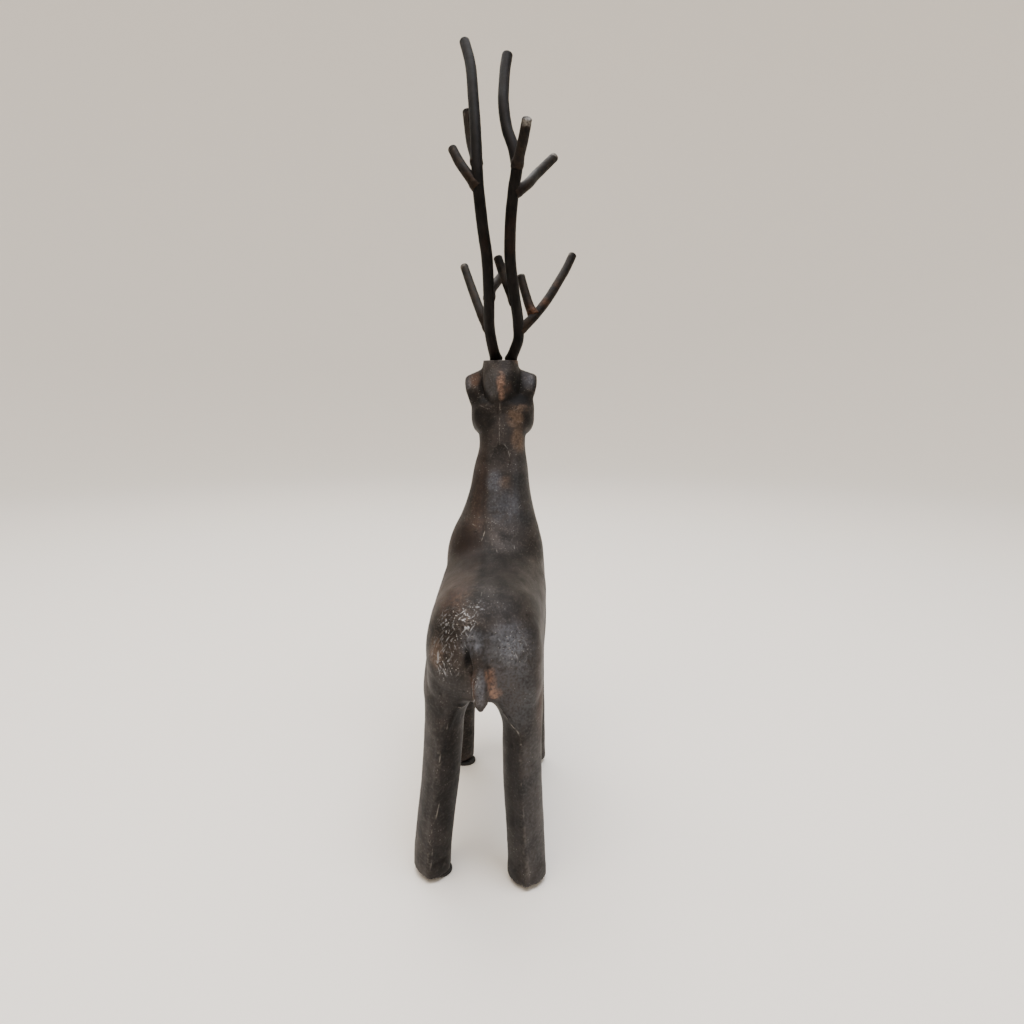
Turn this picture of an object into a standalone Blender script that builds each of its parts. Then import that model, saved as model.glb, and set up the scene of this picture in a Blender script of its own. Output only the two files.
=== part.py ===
# Standing reindeer: one iron casting with two antlers of bent rod welded to the top of its head.
# Metres, +Z up. The deer faces -Y and its left side is +X. Every foot stands on a round pad.
import math

import bmesh
import bpy
import numpy as np
from mathutils import Matrix

# Driving sizes, in metres
figureHeight = 0.1749       # casting, from its soles to the flat top of the head
antlerRise = 0.1310         # from the top of the head to the tip of the taller antler
beamDiameter = 0.0048       # main antler rods
beamTipDiameter = 0.0044
tineDiameter = 0.0042       # side rods, where they leave the beam
tineTipDiameter = 0.0038
padDiameter = 0.0096        # round pads under the feet
padThickness = 0.0013
padEdge = 0.0003            # bevel round the pads
jointGap = 0.0003           # between pieces that touch

# How finely the surfaces are drawn
skinSize = 0.0009           # voxel that melts the casting's forms into one skin
skinSoftening = 5           # rounds of smoothing of that skin
skinShare = 0.050           # share of that skin's triangles that is kept
padSides = 20
sharpAngle = math.radians(40.0)
beamRings, tineRings = 30, 10
routeSteps = 400            # points along a beam when a side rod's start is looked up
weldDistance = 1e-6         # joins a rod's caps to its wall

# The casting's own forms are written for this height and follow figureHeight;
# the antlers' bends are written for this rise and follow antlerRise.
formHeight = 174.9
formRise = 131.0
figureUnit = figureHeight / formHeight
antlerUnit = antlerRise / formRise
sole = padThickness + jointGap
headTop = sole + figureHeight

# How each form is drawn: its rings, the points round a ring and the power of its section, where
# 2 is an ellipse, more is boxier and less is ridged. Where there are two powers, the first is the front's.
torsoDrawing = (40, 40, 2.5)
neckDrawing = (40, 36, 2.2, 2.3)
headDrawing = (30, 32, 3.0)
pollDrawing = (16, 28, 2.1, 2.1)
earDrawing = (14, 20, 3.4, 3.4)
tailDrawing = (14, 16, 2.0, 1.8)
legDrawing = (30, 32, 1.9, 1.5)
eyeDrawing = (16, 10)

# Torso, from the rump to the chest: y, x, z of the widest line, half width, rise above it, drop below it
torsoStations = [
    (-1.8, 0.0, 72.5, 5.0, 5.0, 5.0), (-4.0, 0.0, 73.4, 12.0, 11.0, 10.8),
    (-8.0, 0.1, 74.0, 17.2, 16.0, 13.6), (-14.0, 0.2, 74.4, 19.6, 20.0, 15.0),
    (-22.0, 0.2, 75.4, 20.3, 21.2, 15.8), (-36.0, 0.5, 76.6, 20.7, 19.8, 16.6),
    (-52.0, 0.8, 78.2, 21.1, 17.6, 19.0), (-68.0, 0.9, 79.4, 21.5, 17.8, 21.8),
    (-82.0, 1.0, 80.2, 21.5, 19.2, 23.6), (-93.0, 0.9, 80.4, 19.8, 19.0, 21.0),
    (-100.0, 0.6, 81.4, 12.0, 12.0, 13.0), (-103.0, 0.4, 82.0, 5.0, 5.0, 6.0),
]
# Chest and neck, upwards: z, x, y, half width, reach to the front, reach to the back
neckStations = [
    (56.4, 0.4, -90.0, 8.0, 8.0, 8.0), (58.6, 0.5, -90.0, 14.0, 14.0, 13.0),
    (63.0, 0.6, -90.0, 18.2, 19.0, 15.0), (71.0, 0.8, -90.5, 20.6, 22.6, 17.0),
    (80.0, 0.9, -91.0, 21.2, 24.2, 20.0), (88.0, 1.2, -91.5, 21.0, 24.2, 23.0),
    (95.5, 1.3, -92.5, 20.5, 22.8, 22.4), (103.0, 1.1, -94.5, 18.5, 20.6, 18.6),
    (110.0, 0.4, -97.0, 15.7, 19.0, 16.0), (119.0, -0.1, -100.5, 13.2, 17.2, 14.2),
    (129.0, -0.4, -104.0, 11.7, 15.6, 12.8), (138.0, -0.8, -107.0, 10.1, 14.6, 11.8),
    (145.0, -0.6, -109.5, 10.4, 14.0, 11.2), (152.0, -0.3, -111.5, 10.0, 12.0, 10.4),
]
# Head, from the nape to the nose: as the torso
headStations = [
    (-101.4, -0.6, 152.2, 6.0, 4.2, 4.6), (-103.0, -0.7, 151.8, 11.4, 6.4, 8.6),
    (-107.0, -0.9, 151.6, 13.5, 8.6, 10.2), (-113.0, -0.7, 152.0, 13.8, 14.8, 11.0),
    (-118.5, 0.0, 152.4, 13.4, 15.4, 11.8), (-124.0, 0.0, 152.2, 11.4, 13.2, 11.4),
    (-129.0, 0.0, 151.2, 9.2, 10.4, 10.0), (-134.5, 0.0, 149.8, 7.4, 8.2, 8.4),
    (-140.0, 0.0, 148.6, 6.3, 6.8, 7.2), (-145.0, 0.0, 147.8, 6.1, 6.4, 6.6),
    (-148.6, 0.0, 147.4, 5.4, 5.8, 6.0), (-150.3, 0.0, 147.2, 3.6, 4.2, 4.4),
    (-151.0, 0.0, 147.0, 2.0, 2.4, 2.4),
]
# Left eye: its middle and its half sizes
eyeMiddle = (9.3, -127.2, 155.4)
eyeReach = (1.9, 2.5, 2.0)
# Round poll between the ears, upwards to the flat that carries the antlers: as the neck
pollStations = [
    (154.0, 0.0, -110.5, 2.6, 3.0, 3.4), (156.4, 0.0, -110.6, 6.0, 6.6, 7.8),
    (160.0, -0.1, -111.0, 8.0, 8.8, 10.6), (164.5, -0.1, -111.4, 8.5, 9.6, 11.8),
    (169.0, 0.0, -112.0, 8.4, 9.8, 11.2), (173.0, 0.2, -112.8, 7.9, 9.0, 9.2),
    (176.5, 0.2, -113.2, 7.4, 7.8, 6.6), (179.0, 0.2, -113.4, 6.2, 6.2, 4.8),
]
# Left ear, upwards: as the neck, and a reach to the front below nothing hollows its front
earStations = [
    (153.5, 9.8, -110.6, 2.8, 3.2, 3.2), (157.5, 10.4, -110.6, 3.6, 3.0, 3.4),
    (161.5, 11.1, -111.6, 4.1, 1.0, 3.8), (165.0, 11.5, -112.4, 4.3, -0.6, 3.9),
    (168.0, 11.7, -113.0, 4.3, -0.8, 3.7), (170.1, 11.6, -113.4, 4.3, -0.4, 3.3),
    (171.0, 11.4, -113.3, 4.0, 0.2, 2.7),
]
# Fall of each ear's top towards its outer edge, for each unit outwards, and where it starts
earFall = {1.0: 0.44, -1.0: 0.34}
earFallFrom = (160.0, 9.0)
# Tail, downwards: as the neck
tailStations = [
    (84.0, 1.6, -5.6, 1.8, 2.0, 1.6), (80.0, 1.6, -3.2, 2.2, 2.4, 2.2), (75.5, 1.1, -1.2, 2.6, 2.6, 2.2),
    (70.5, 0.3, 0.2, 2.9, 2.5, 2.1), (66.4, -0.1, 1.1, 2.7, 2.2, 1.7), (63.6, -0.2, 1.5, 1.8, 1.5, 1.2),
    (61.7, -0.1, 1.7, 0.8, 0.7, 0.6),
]
# Legs, upwards from below the sole: z, y, half width, reach to the front, reach to the back
hindLegStations = [
    (-3.0, -7.6, 6.5, 7.6, 8.4), (6.0, -7.9, 6.5, 7.6, 8.4),
    (19.0, -8.8, 6.5, 8.0, 8.5), (33.0, -10.2, 6.6, 8.8, 8.8),
    (45.0, -12.0, 6.9, 10.4, 9.6), (54.0, -14.0, 7.5, 12.4, 11.0), (61.0, -15.6, 9.4, 14.0, 12.2),
    (68.0, -16.8, 9.8, 14.6, 12.4), (76.0, -17.6, 9.4, 14.0, 11.8), (84.0, -18.0, 7.0, 10.0, 8.6),
]
frontLegStations = [
    (-3.0, -88.0, 6.2, 7.0, 7.2), (6.0, -88.2, 6.2, 7.0, 7.2),
    (22.0, -88.6, 6.3, 7.2, 7.3), (38.0, -88.8, 6.5, 7.8, 7.6),
    (52.0, -88.4, 7.1, 9.6, 9.2), (64.0, -87.4, 8.8, 12.6, 12.0), (78.0, -86.0, 9.0, 13.0, 13.0),
    (86.0, -86.0, 7.0, 9.0, 9.0),
]
# How far each leg's middle stands from the deer's middle plane, at its own heights
legSplay = {
    "hindLeft": [
        (-3.0, 18.3), (6.0, 17.9), (19.0, 16.6), (33.0, 15.0), (54.0, 13.4), (61.0, 11.8), (68.0, 11.2),
        (84.0, 9.6),
    ],
    "hindRight": [
        (-3.0, 15.1), (6.0, 14.7), (19.0, 14.0), (33.0, 13.1), (54.0, 12.0), (61.0, 10.5), (68.0, 10.0),
        (84.0, 9.4),
    ],
    "frontLeft": [(-3.0, 17.5), (22.0, 16.7), (38.0, 15.6), (52.0, 14.2), (64.0, 12.6), (86.0, 10.6)],
    "frontRight": [(-3.0, 14.8), (22.0, 14.2), (38.0, 13.6), (52.0, 13.0), (64.0, 12.0), (86.0, 10.4)],
}
legShift = {"hindLeft": -1.6, "hindRight": 1.4, "frontLeft": 0.0, "frontRight": -0.4}
# Each pad sits under its foot, a little towards the inside of the deer: x and y from the foot's middle
padOffset = {
    "hindLeft": (-2.4, 0.6), "hindRight": (0.6, 0.4),
    "frontLeft": (-2.4, 1.4), "frontRight": (0.4, 0.2),
}

# Antler rods: bends of each centre line from the middle of the head's top
antlerFoot = (0.2, -113.6)
leftBeamBends = [
    (1.6, -0.6, -4.0), (2.0, 0.0, 0.0), (3.0, 3.0, 4.2), (4.1, 7.4, 10.8), (3.7, 19.6, 25.4),
    (3.8, 27.6, 39.4), (5.1, 31.6, 50.5), (6.6, 33.6, 65.3), (7.6, 29.6, 81.7), (9.2, 21.6, 99.2),
    (11.8, 9.6, 118.9), (14.6, 2.2, 129.3),
]
rightBeamBends = [
    (-2.6, -1.0, -4.0), (-4.4, 0.0, 0.0), (-6.2, 2.8, 4.0), (-7.9, 5.4, 8.2), (-8.1, 9.4, 14.6),
    (-6.9, 19.6, 25.4), (-5.5, 27.6, 39.4), (-6.0, 31.6, 53.4), (-7.4, 33.6, 65.1), (-8.3, 33.4, 71.3),
    (-7.4, 31.6, 77.6), (-4.1, 26.6, 88.2), (-2.6, 21.6, 99.0), (-2.5, 16.6, 107.0),
    (-3.1, 9.6, 118.7), (-3.5, 7.8, 121.8),
]
# Side rods: the height on its beam where each one starts, then its own bends
leftTines = {
    "left_brow_tine": (12.2, [(6.8, 6.6, 16.6), (9.9, 0.6, 23.5), (13.5, -7.4, 32.1), (17.7, -16.6, 42.6)]),
    "left_inner_tine": (24.4, [(3.0, 13.6, 28.6), (1.1, 6.6, 32.6), (-2.0, 1.6, 37.6), (-4.0, -1.4, 41.8)]),
    "left_rear_tine": (73.6, [(8.5, 27.0, 78.2), (10.2, 22.6, 84.2), (12.3, 17.0, 97.6)]),
    "left_outer_tine": (64.4, [(10.2, 32.6, 69.0), (14.0, 28.6, 74.6), (17.7, 24.0, 81.6)]),
}
rightTines = {
    "right_brow_tine": (12.2, [
        (-13.0, 5.6, 16.4), (-16.8, 1.6, 20.9), (-21.1, -4.4, 27.2), (-25.1, -10.4, 34.2),
        (-28.7, -16.4, 40.8), (-31.9, -21.4, 48.0),
    ]),
    "right_inner_tine": (22.4, [(-4.4, 15.6, 28.8), (-1.4, 11.8, 36.2), (0.7, 9.8, 42.4)]),
    "right_front_tine": (71.7, [(-10.0, 39.6, 75.7), (-11.4, 44.6, 79.3), (-12.7, 49.6, 84.2)]),
    "right_outer_tine": (62.2, [(-10.2, 31.6, 64.4), (-16.1, 20.6, 72.6), (-22.9, 9.8, 81.7)]),
}
# Second rod on the right brow tine, as above
browFork = (18.6, [(-13.4, 2.4, 21.3), (-10.8, -1.6, 28.7), (-8.5, -5.6, 36.8)])


def clearScene():
    for item in list(bpy.data.objects):
        bpy.data.objects.remove(item, do_unlink=True)


def makeCollection(name):
    group = bpy.data.collections.new(name)
    bpy.context.scene.collection.children.link(group)
    return group


def makeMaterial(name, colour, roughness, metallic):
    material = bpy.data.materials.new(name)
    material.use_nodes = True
    shader = material.node_tree.nodes["Principled BSDF"]
    shader.inputs["Base Color"].default_value = (*colour, 1.0)
    shader.inputs["Roughness"].default_value = roughness
    shader.inputs["Metallic"].default_value = metallic
    material.diffuse_color = (*colour, 1.0)
    return material


def smoothRows(rows, steps):
    # A smooth curve through every row: between two rows it is the cubic whose slopes there
    # run from the row before to the row after, measured over the distance between the rows.
    rows = np.array(rows, dtype=float)
    reach = np.maximum(np.linalg.norm(np.diff(rows, axis=0), axis=1), 1e-6)
    place = np.concatenate([[0.0], np.cumsum(reach)])
    slope = np.gradient(rows, place, axis=0)
    wanted = np.linspace(0.0, place[-1], steps)
    before = np.clip(np.searchsorted(place, wanted, side="right") - 1, 0, len(rows) - 2)
    span = (place[before + 1] - place[before])[:, None]
    t = (wanted[:, None] - place[before][:, None]) / span
    return ((2 * t**3 - 3 * t**2 + 1) * rows[before] + (t**3 - 2 * t**2 + t) * span * slope[before]
            + (3 * t**2 - 2 * t**3) * rows[before + 1] + (t**3 - t**2) * span * slope[before + 1])


def ovalPower(angle, power):
    # Cosine and sine of a superellipse: a power of 2 is an ellipse, 1 a diamond, more is boxier
    across, along = np.cos(angle), np.sin(angle)
    return np.sign(across) * np.abs(across) ** (2 / power), np.sign(along) * np.abs(along) ** (2 / power)


def uprightRings(stations, count, sides, power):
    # Rings that stand across the deer, for what runs from back to front
    angle = np.linspace(0.0, 2 * math.pi, sides, endpoint=False)
    across, up = ovalPower(angle, power)
    rings = []
    for y, x, z, halfWidth, rise, drop in smoothRows(stations, count):
        height = z + np.where(up > 0, rise, drop) * up
        rings.append(np.column_stack([x + halfWidth * across, np.full(sides, y), height]))
    return rings


def levelRings(stations, count, sides, frontPower, backPower):
    # Rings that lie flat, for what runs up or down
    angle = np.linspace(0.0, 2 * math.pi, sides, endpoint=False)
    frontAcross, frontAlong = ovalPower(angle, frontPower)
    backAcross, backAlong = ovalPower(angle, backPower)
    toBack = np.sin(angle) > 0
    rings = []
    for z, x, y, halfWidth, front, back in smoothRows(stations, count):
        across = np.where(toBack, backAcross, frontAcross)
        along = np.where(toBack, back * backAlong, front * frontAlong)
        rings.append(np.column_stack([x + halfWidth * across, y + along, np.full(sides, z)]))
    return rings


def addLoft(mesh, rings):
    # One closed form through rings of equal count, its two ends closed flat
    loops = [[mesh.verts.new(point) for point in ring] for ring in rings]
    sides = len(loops[0])
    faces = []
    for lower, upper in zip(loops[:-1], loops[1:]):
        for i in range(sides):
            j = (i + 1) % sides
            faces.append(mesh.faces.new((lower[i], lower[j], upper[j], upper[i])))
    faces.append(mesh.faces.new(list(reversed(loops[0]))))
    faces.append(mesh.faces.new(loops[-1]))
    bmesh.ops.recalc_face_normals(mesh, faces=faces)


def legStations(leg):
    stations = hindLegStations if leg.startswith("hind") else frontLegStations
    side = 1.0 if leg.endswith("Left") else -1.0
    heights, splays = zip(*legSplay[leg])
    rows = []
    for z, y, halfWidth, front, back in stations:
        x = side * np.interp(z, heights, splays)
        rows.append((z, x, y + legShift[leg], halfWidth, front, back))
    return rows


def earRings(side):
    # One ear on the given side, its rings tilted by the fall of its top edge
    stations = [(z, side * x, y, *rest) for z, x, y, *rest in earStations]
    bottom, inner = earFallFrom
    height = max(z for z, *rest in stations) - bottom
    rings = levelRings(stations, *earDrawing)
    for ring in rings:
        share = np.clip((ring[:, 2] - bottom) / height, 0.0, 1.0)
        ring[:, 2] -= earFall[side] * share * (np.abs(ring[:, 0]) - inner)
    return rings


def addEye(mesh, side):
    x, y, z = eyeMiddle
    place = Matrix.Translation((side * x, y, z)) @ Matrix.Diagonal((*eyeReach, 1.0))
    around, down = eyeDrawing
    bmesh.ops.create_uvsphere(mesh, u_segments=around, v_segments=down, radius=1.0, matrix=place)


def addObject(name, mesh, group, material, parent):
    piece = bpy.data.objects.new(name, mesh)
    group.objects.link(piece)
    if material:
        mesh.materials.clear()
        mesh.materials.append(material)
    piece.parent = parent
    return piece


def meshFromBmesh(name, form):
    mesh = bpy.data.meshes.new(name)
    form.to_mesh(mesh)
    form.free()
    return mesh


def hideCutter(cutter):
    cutter.hide_render = True
    cutter.display_type = "WIRE"
    return cutter


def boxCutter(name, low, high, group, parent):
    form = bmesh.new()
    bmesh.ops.create_cube(form, size=1.0)
    for vert in form.verts:
        for axis in range(3):
            vert.co[axis] = (low[axis] + high[axis]) / 2 + vert.co[axis] * (high[axis] - low[axis])
    return hideCutter(addObject(name, meshFromBmesh(name, form), group, None, parent))


def cutWith(piece, cutter):
    cut = piece.modifiers.new("cut", "BOOLEAN")
    cut.operation = "DIFFERENCE"
    cut.solver = "EXACT"
    cut.object = cutter


def buildCasting(group, cutters, material, parent):
    forms = bmesh.new()
    addLoft(forms, uprightRings(torsoStations, *torsoDrawing))
    addLoft(forms, levelRings(neckStations, *neckDrawing))
    addLoft(forms, uprightRings(headStations, *headDrawing))
    addLoft(forms, levelRings(pollStations, *pollDrawing))
    for side in (1.0, -1.0):
        addLoft(forms, earRings(side))
        addEye(forms, side)
    addLoft(forms, levelRings(tailStations, *tailDrawing))
    for leg in legSplay:
        addLoft(forms, levelRings(legStations(leg), *legDrawing))
    for vert in forms.verts:
        vert.co *= figureUnit
        vert.co.z += sole
    casting = addObject("cast_body", meshFromBmesh("cast_body", forms), group, material, parent)
    skin = casting.modifiers.new("one skin", "REMESH")
    skin.mode = "VOXEL"
    skin.voxel_size = skinSize
    soften = casting.modifiers.new("soften", "SMOOTH")
    soften.factor = 0.5
    soften.iterations = skinSoftening
    thin = casting.modifiers.new("fewer faces", "DECIMATE")
    thin.ratio = skinShare
    reach = figureHeight
    low, high = (-reach, -2 * reach), (reach, reach)
    ground = boxCutter("below_soles", (*low, -reach), (*high, sole), cutters, parent)
    above = boxCutter("above_head", (*low, headTop), (*high, headTop + reach), cutters, parent)
    cutWith(casting, ground)
    cutWith(casting, above)
    return casting


def antlerPoint(bend):
    x, y = (value * figureUnit for value in antlerFoot)
    return (x + bend[0] * antlerUnit, y + bend[1] * antlerUnit, headTop + jointGap + bend[2] * antlerUnit)


def rodMesh(name, bends, diameter, tipDiameter, rings, fatter=0.0):
    # A round rod along the bends, made as a curve with filled caps and then turned into one closed mesh
    route = smoothRows([antlerPoint(bend) for bend in bends], rings)
    curve = bpy.data.curves.new(name, "CURVE")
    curve.dimensions = "3D"
    curve.bevel_depth = diameter / 2 + fatter
    curve.bevel_resolution = 3
    curve.use_fill_caps = True
    spline = curve.splines.new("POLY")
    spline.points.add(rings - 1)
    tipRadius = (tipDiameter / 2 + fatter) / curve.bevel_depth
    for i, (point, place) in enumerate(zip(spline.points, route)):
        point.co = (*place, 1.0)
        point.radius = 1.0 + (tipRadius - 1.0) * i / (rings - 1)
    guide = bpy.data.objects.new(name + "_guide", curve)
    bpy.context.scene.collection.objects.link(guide)
    bpy.context.view_layer.update()
    evaluated = guide.evaluated_get(bpy.context.evaluated_depsgraph_get())
    mesh = bpy.data.meshes.new_from_object(evaluated)
    mesh.name = name
    bpy.data.objects.remove(guide, do_unlink=True)
    form = bmesh.new()
    form.from_mesh(mesh)
    bmesh.ops.remove_doubles(form, verts=form.verts, dist=weldDistance)
    bmesh.ops.recalc_face_normals(form, faces=form.faces)
    form.to_mesh(mesh)
    form.free()
    return mesh


def tineBends(tine, carrierBends):
    # The side rod's bends, from the middle of the rod that carries it
    start, bends = tine
    carrier = smoothRows(carrierBends, routeSteps)
    return [tuple(carrier[np.argmin(np.abs(carrier[:, 2] - start))]), *bends]


def clearanceCutter(name, bends, diameter, tipDiameter, rings, cutters, parent):
    # A rod fatter by the gap, to cut what is welded to that rod
    fat = rodMesh(name, bends, diameter, tipDiameter, rings, jointGap)
    return hideCutter(addObject(name, fat, cutters, None, parent))


def buildAntler(side, beamBends, tines, group, cutters, material, parent, headCutter):
    sizes = (beamDiameter, beamTipDiameter, beamRings)
    name = side + "_antler_beam"
    beam = addObject(name, rodMesh(name, beamBends, *sizes), group, material, parent)
    cutWith(beam, headCutter)
    beamCutter = clearanceCutter(side + "_beam_clearance", beamBends, *sizes, cutters, parent)
    for name, tine in tines.items():
        buildTine(name, tineBends(tine, beamBends), group, material, parent, beamCutter)


def buildTine(name, bends, group, material, parent, carrierCutter):
    mesh = rodMesh(name, bends, tineDiameter, tineTipDiameter, tineRings)
    cutWith(addObject(name, mesh, group, material, parent), carrierCutter)


def buildAntlers(group, cutters, material, parent):
    reach = figureHeight
    top = headTop + jointGap
    headCutter = boxCutter("head_clearance", (-reach, -2 * reach, top - reach), (reach, reach, top),
                           cutters, parent)
    buildAntler("left", leftBeamBends, leftTines, group, cutters, material, parent, headCutter)
    buildAntler("right", rightBeamBends, rightTines, group, cutters, material, parent, headCutter)
    browBends = tineBends(rightTines["right_brow_tine"], rightBeamBends)
    browCutter = clearanceCutter("brow_clearance", browBends, tineDiameter, tineTipDiameter, tineRings,
                                 cutters, parent)
    buildTine("right_brow_fork", tineBends(browFork, browBends), group, material, parent, browCutter)


def buildPads(group, material, parent):
    names = {"hindLeft": "left_hind_pad", "hindRight": "right_hind_pad",
             "frontLeft": "left_front_pad", "frontRight": "right_front_pad"}
    for leg, name in names.items():
        z, x, y, halfWidth, front, back = legStations(leg)[0]
        form = bmesh.new()
        bmesh.ops.create_cone(form, cap_ends=True, segments=padSides, radius1=padDiameter / 2,
                              radius2=padDiameter / 2, depth=padThickness)
        pad = addObject(name, meshFromBmesh(name, form), group, material, parent)
        acrossFoot, alongFoot = padOffset[leg]
        pad.location = ((x + acrossFoot) * figureUnit, (y + alongFoot) * figureUnit, padThickness / 2)
        edge = pad.modifiers.new("rounded edge", "BEVEL")
        edge.width = padEdge
        edge.segments = 1


def centreOnFloor(root, group):
    # Puts the middle of the whole model's box over the origin
    bpy.context.view_layer.update()
    depsgraph = bpy.context.evaluated_depsgraph_get()
    corners = []
    for piece in group.objects:
        evaluated = piece.evaluated_get(depsgraph)
        mesh = evaluated.to_mesh()
        points = np.empty(len(mesh.vertices) * 3)
        mesh.vertices.foreach_get("co", points)
        points = points.reshape(-1, 3) @ np.array(evaluated.matrix_world.to_3x3()).T
        points += np.array(evaluated.matrix_world.translation)
        corners += [points.min(axis=0), points.max(axis=0)]
        evaluated.to_mesh_clear()
    middle = (np.min(corners, axis=0) + np.max(corners, axis=0)) / 2
    root.location = (-middle[0], -middle[1], 0.0)


def build():
    clearScene()
    group = makeCollection("reindeer")
    cutters = makeCollection("reindeer_cutters")
    root = bpy.data.objects.new("reindeer_root", None)
    bpy.context.scene.collection.objects.link(root)
    iron = makeMaterial("brown cast iron", (0.030, 0.024, 0.020), 0.55, 0.6)
    steel = makeMaterial("blackened steel rod", (0.034, 0.032, 0.031), 0.45, 0.8)
    rubber = makeMaterial("black rubber", (0.010, 0.010, 0.010), 0.7, 0.0)
    buildCasting(group, cutters, iron, root)
    buildAntlers(group, cutters, steel, root)
    buildPads(group, rubber, root)
    for piece in group.objects:
        piece.data.shade_smooth()
        piece.data.set_sharp_from_angle(angle=sharpAngle)
    centreOnFloor(root, group)


build()
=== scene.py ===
# Standing reindeer: sand-cast iron with antlers of bent steel rod, dressed over its fixed frame.
# The scene is in metres. Shapes are worked out in millimetres in the deer's own frame: x towards its left,
# y towards its tail with 0 under the back of the hind feet, z up from the soles of its feet.
import itertools
import math

import bmesh
import bpy
import numpy as np
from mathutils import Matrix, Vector


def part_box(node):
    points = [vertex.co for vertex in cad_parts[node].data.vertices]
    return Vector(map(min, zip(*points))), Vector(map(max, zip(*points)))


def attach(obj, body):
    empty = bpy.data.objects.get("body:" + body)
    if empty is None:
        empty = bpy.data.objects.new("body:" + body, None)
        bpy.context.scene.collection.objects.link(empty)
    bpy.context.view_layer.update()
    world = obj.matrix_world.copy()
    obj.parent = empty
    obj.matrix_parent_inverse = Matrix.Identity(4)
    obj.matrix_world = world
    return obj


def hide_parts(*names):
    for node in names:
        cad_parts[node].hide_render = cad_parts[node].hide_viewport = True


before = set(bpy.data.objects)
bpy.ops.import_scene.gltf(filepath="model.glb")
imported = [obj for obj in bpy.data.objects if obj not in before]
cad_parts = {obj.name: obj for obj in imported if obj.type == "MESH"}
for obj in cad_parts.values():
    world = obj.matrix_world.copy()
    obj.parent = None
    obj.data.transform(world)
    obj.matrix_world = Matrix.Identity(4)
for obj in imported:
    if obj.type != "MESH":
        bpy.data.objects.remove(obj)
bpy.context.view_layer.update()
print("frame loaded,", len(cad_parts), "nodes")

mm = 0.001


def middleOf(node):
    low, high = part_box(node)
    return (np.array(low) + np.array(high)) / 2


# The deer's frame is found from its left hind pad, and its soles are the bottom of the casting
hindPadPlace = (15.9, -8.6)
deerOrigin = middleOf("left_hind_pad") - np.array([*hindPadPlace, 0.0]) * mm
deerOrigin[2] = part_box("cast_body")[0][2]


def toScene(points):
    return np.asarray(points, dtype=float) * mm + deerOrigin


def linearColour(hexCode):
    # sRGB to linear: up to 0.04045 a division by 12.92, above it a power of 2.4
    parts = [int(hexCode[i:i + 2], 16) / 255 for i in (1, 3, 5)]
    return tuple(v / 12.92 if v <= 0.04045 else ((v + 0.055) / 1.055) ** 2.4 for v in parts) + (1.0,)


def fade(value, start, end):
    # 0 at start and 1 at end, with a soft step between them
    t = np.clip((value - start) / (end - start), 0.0, 1.0)
    return t * t * (3 - 2 * t)


def smoothRows(rows, steps):
    # A smooth curve through every row: between two rows it is the cubic whose slopes there
    # run from the row before to the row after, measured over the distance between the rows
    rows = np.array(rows, dtype=float)
    reach = np.maximum(np.linalg.norm(np.diff(rows, axis=0), axis=1), 1e-6)
    place = np.concatenate([[0.0], np.cumsum(reach)])
    slope = np.gradient(rows, place, axis=0)
    wanted = np.linspace(0.0, place[-1], steps)
    before = np.clip(np.searchsorted(place, wanted, side="right") - 1, 0, len(rows) - 2)
    span = (place[before + 1] - place[before])[:, None]
    t = (wanted[:, None] - place[before][:, None]) / span
    return ((2 * t**3 - 3 * t**2 + 1) * rows[before] + (t**3 - 2 * t**2 + t) * span * slope[before]
            + (3 * t**2 - 2 * t**3) * rows[before + 1] + (t**3 - t**2) * span * slope[before + 1])


def cellRandom(cells, seed):
    # A repeatable number from 0 to 1 for every cell: its three whole numbers, mixed by products and shifts
    mixed = cells[..., 0] * 73856093 ^ cells[..., 1] * 19349663 ^ cells[..., 2] * 83492791 ^ seed * 26544357
    mixed = (mixed ^ (mixed >> 13)) * 1274126177 & 0x7FFFFFFF
    return ((mixed ^ (mixed >> 15)) & 0xFFFF) / 65535


def cloudNoise(points, size, seed, octaves=3):
    # Soft noise from -1 to 1: random values at the corners of cells of that size, blended inside each cell,
    # plus the same at half the size and half the weight, and so on
    total, weights = np.zeros(len(points)), 0.0
    for octave in range(octaves):
        place = points / size * 2**octave + 37.7 * octave
        cell = np.floor(place).astype(np.int64)
        part = place - cell
        part = part * part * (3 - 2 * part)
        value = np.zeros(len(points))
        for corner in itertools.product((0, 1), repeat=3):
            share = np.prod(np.where(np.array(corner) == 1, part, 1 - part), axis=1)
            value += share * cellRandom(cell + np.array(corner), seed + octave)
        total += (2 * value - 1) / 2**octave
        weights += 1 / 2**octave
    return total / weights


def cellGaps(points, size, seed):
    # Distances to the nearest and second nearest of random spots, one to a cell, as shares of the cell's size
    place = points / size
    cell = np.floor(place).astype(np.int64)
    nearest = np.full(len(points), 9.0)
    second = np.full(len(points), 9.0)
    for offset in itertools.product((-1, 0, 1), repeat=3):
        near = cell + np.array(offset)
        spot = near + np.stack([cellRandom(near, seed + k) for k in (11, 23, 41)], axis=1)
        gap = np.linalg.norm(place - spot, axis=1)
        second = np.minimum(second, np.maximum(nearest, gap))
        nearest = np.minimum(nearest, gap)
    return nearest, second


def pieceGaps(points, path):
    # For each straight piece of a path: its start, its step, and the way from it to every point
    path = np.array(path, dtype=float)
    for start, end in zip(path[:-1], path[1:]):
        step = end - start
        t = np.clip((points - start) @ step / (step @ step), 0.0, 1.0)
        yield start, step, points - start - t[:, None] * step


def lineGap(points, path):
    return np.min([np.linalg.norm(gap, axis=1) for _, _, gap in pieceGaps(points, path)], axis=0)


def unit(vectors, least=1e-12):
    # Vectors made one long; any below the least length stay shorter than that
    return vectors / np.maximum(np.linalg.norm(vectors, axis=-1, keepdims=True), least)


def bump(distance, width):
    # 1 on the line and falling off as a bell over its width
    return np.exp(-(distance / width) ** 2)


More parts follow.
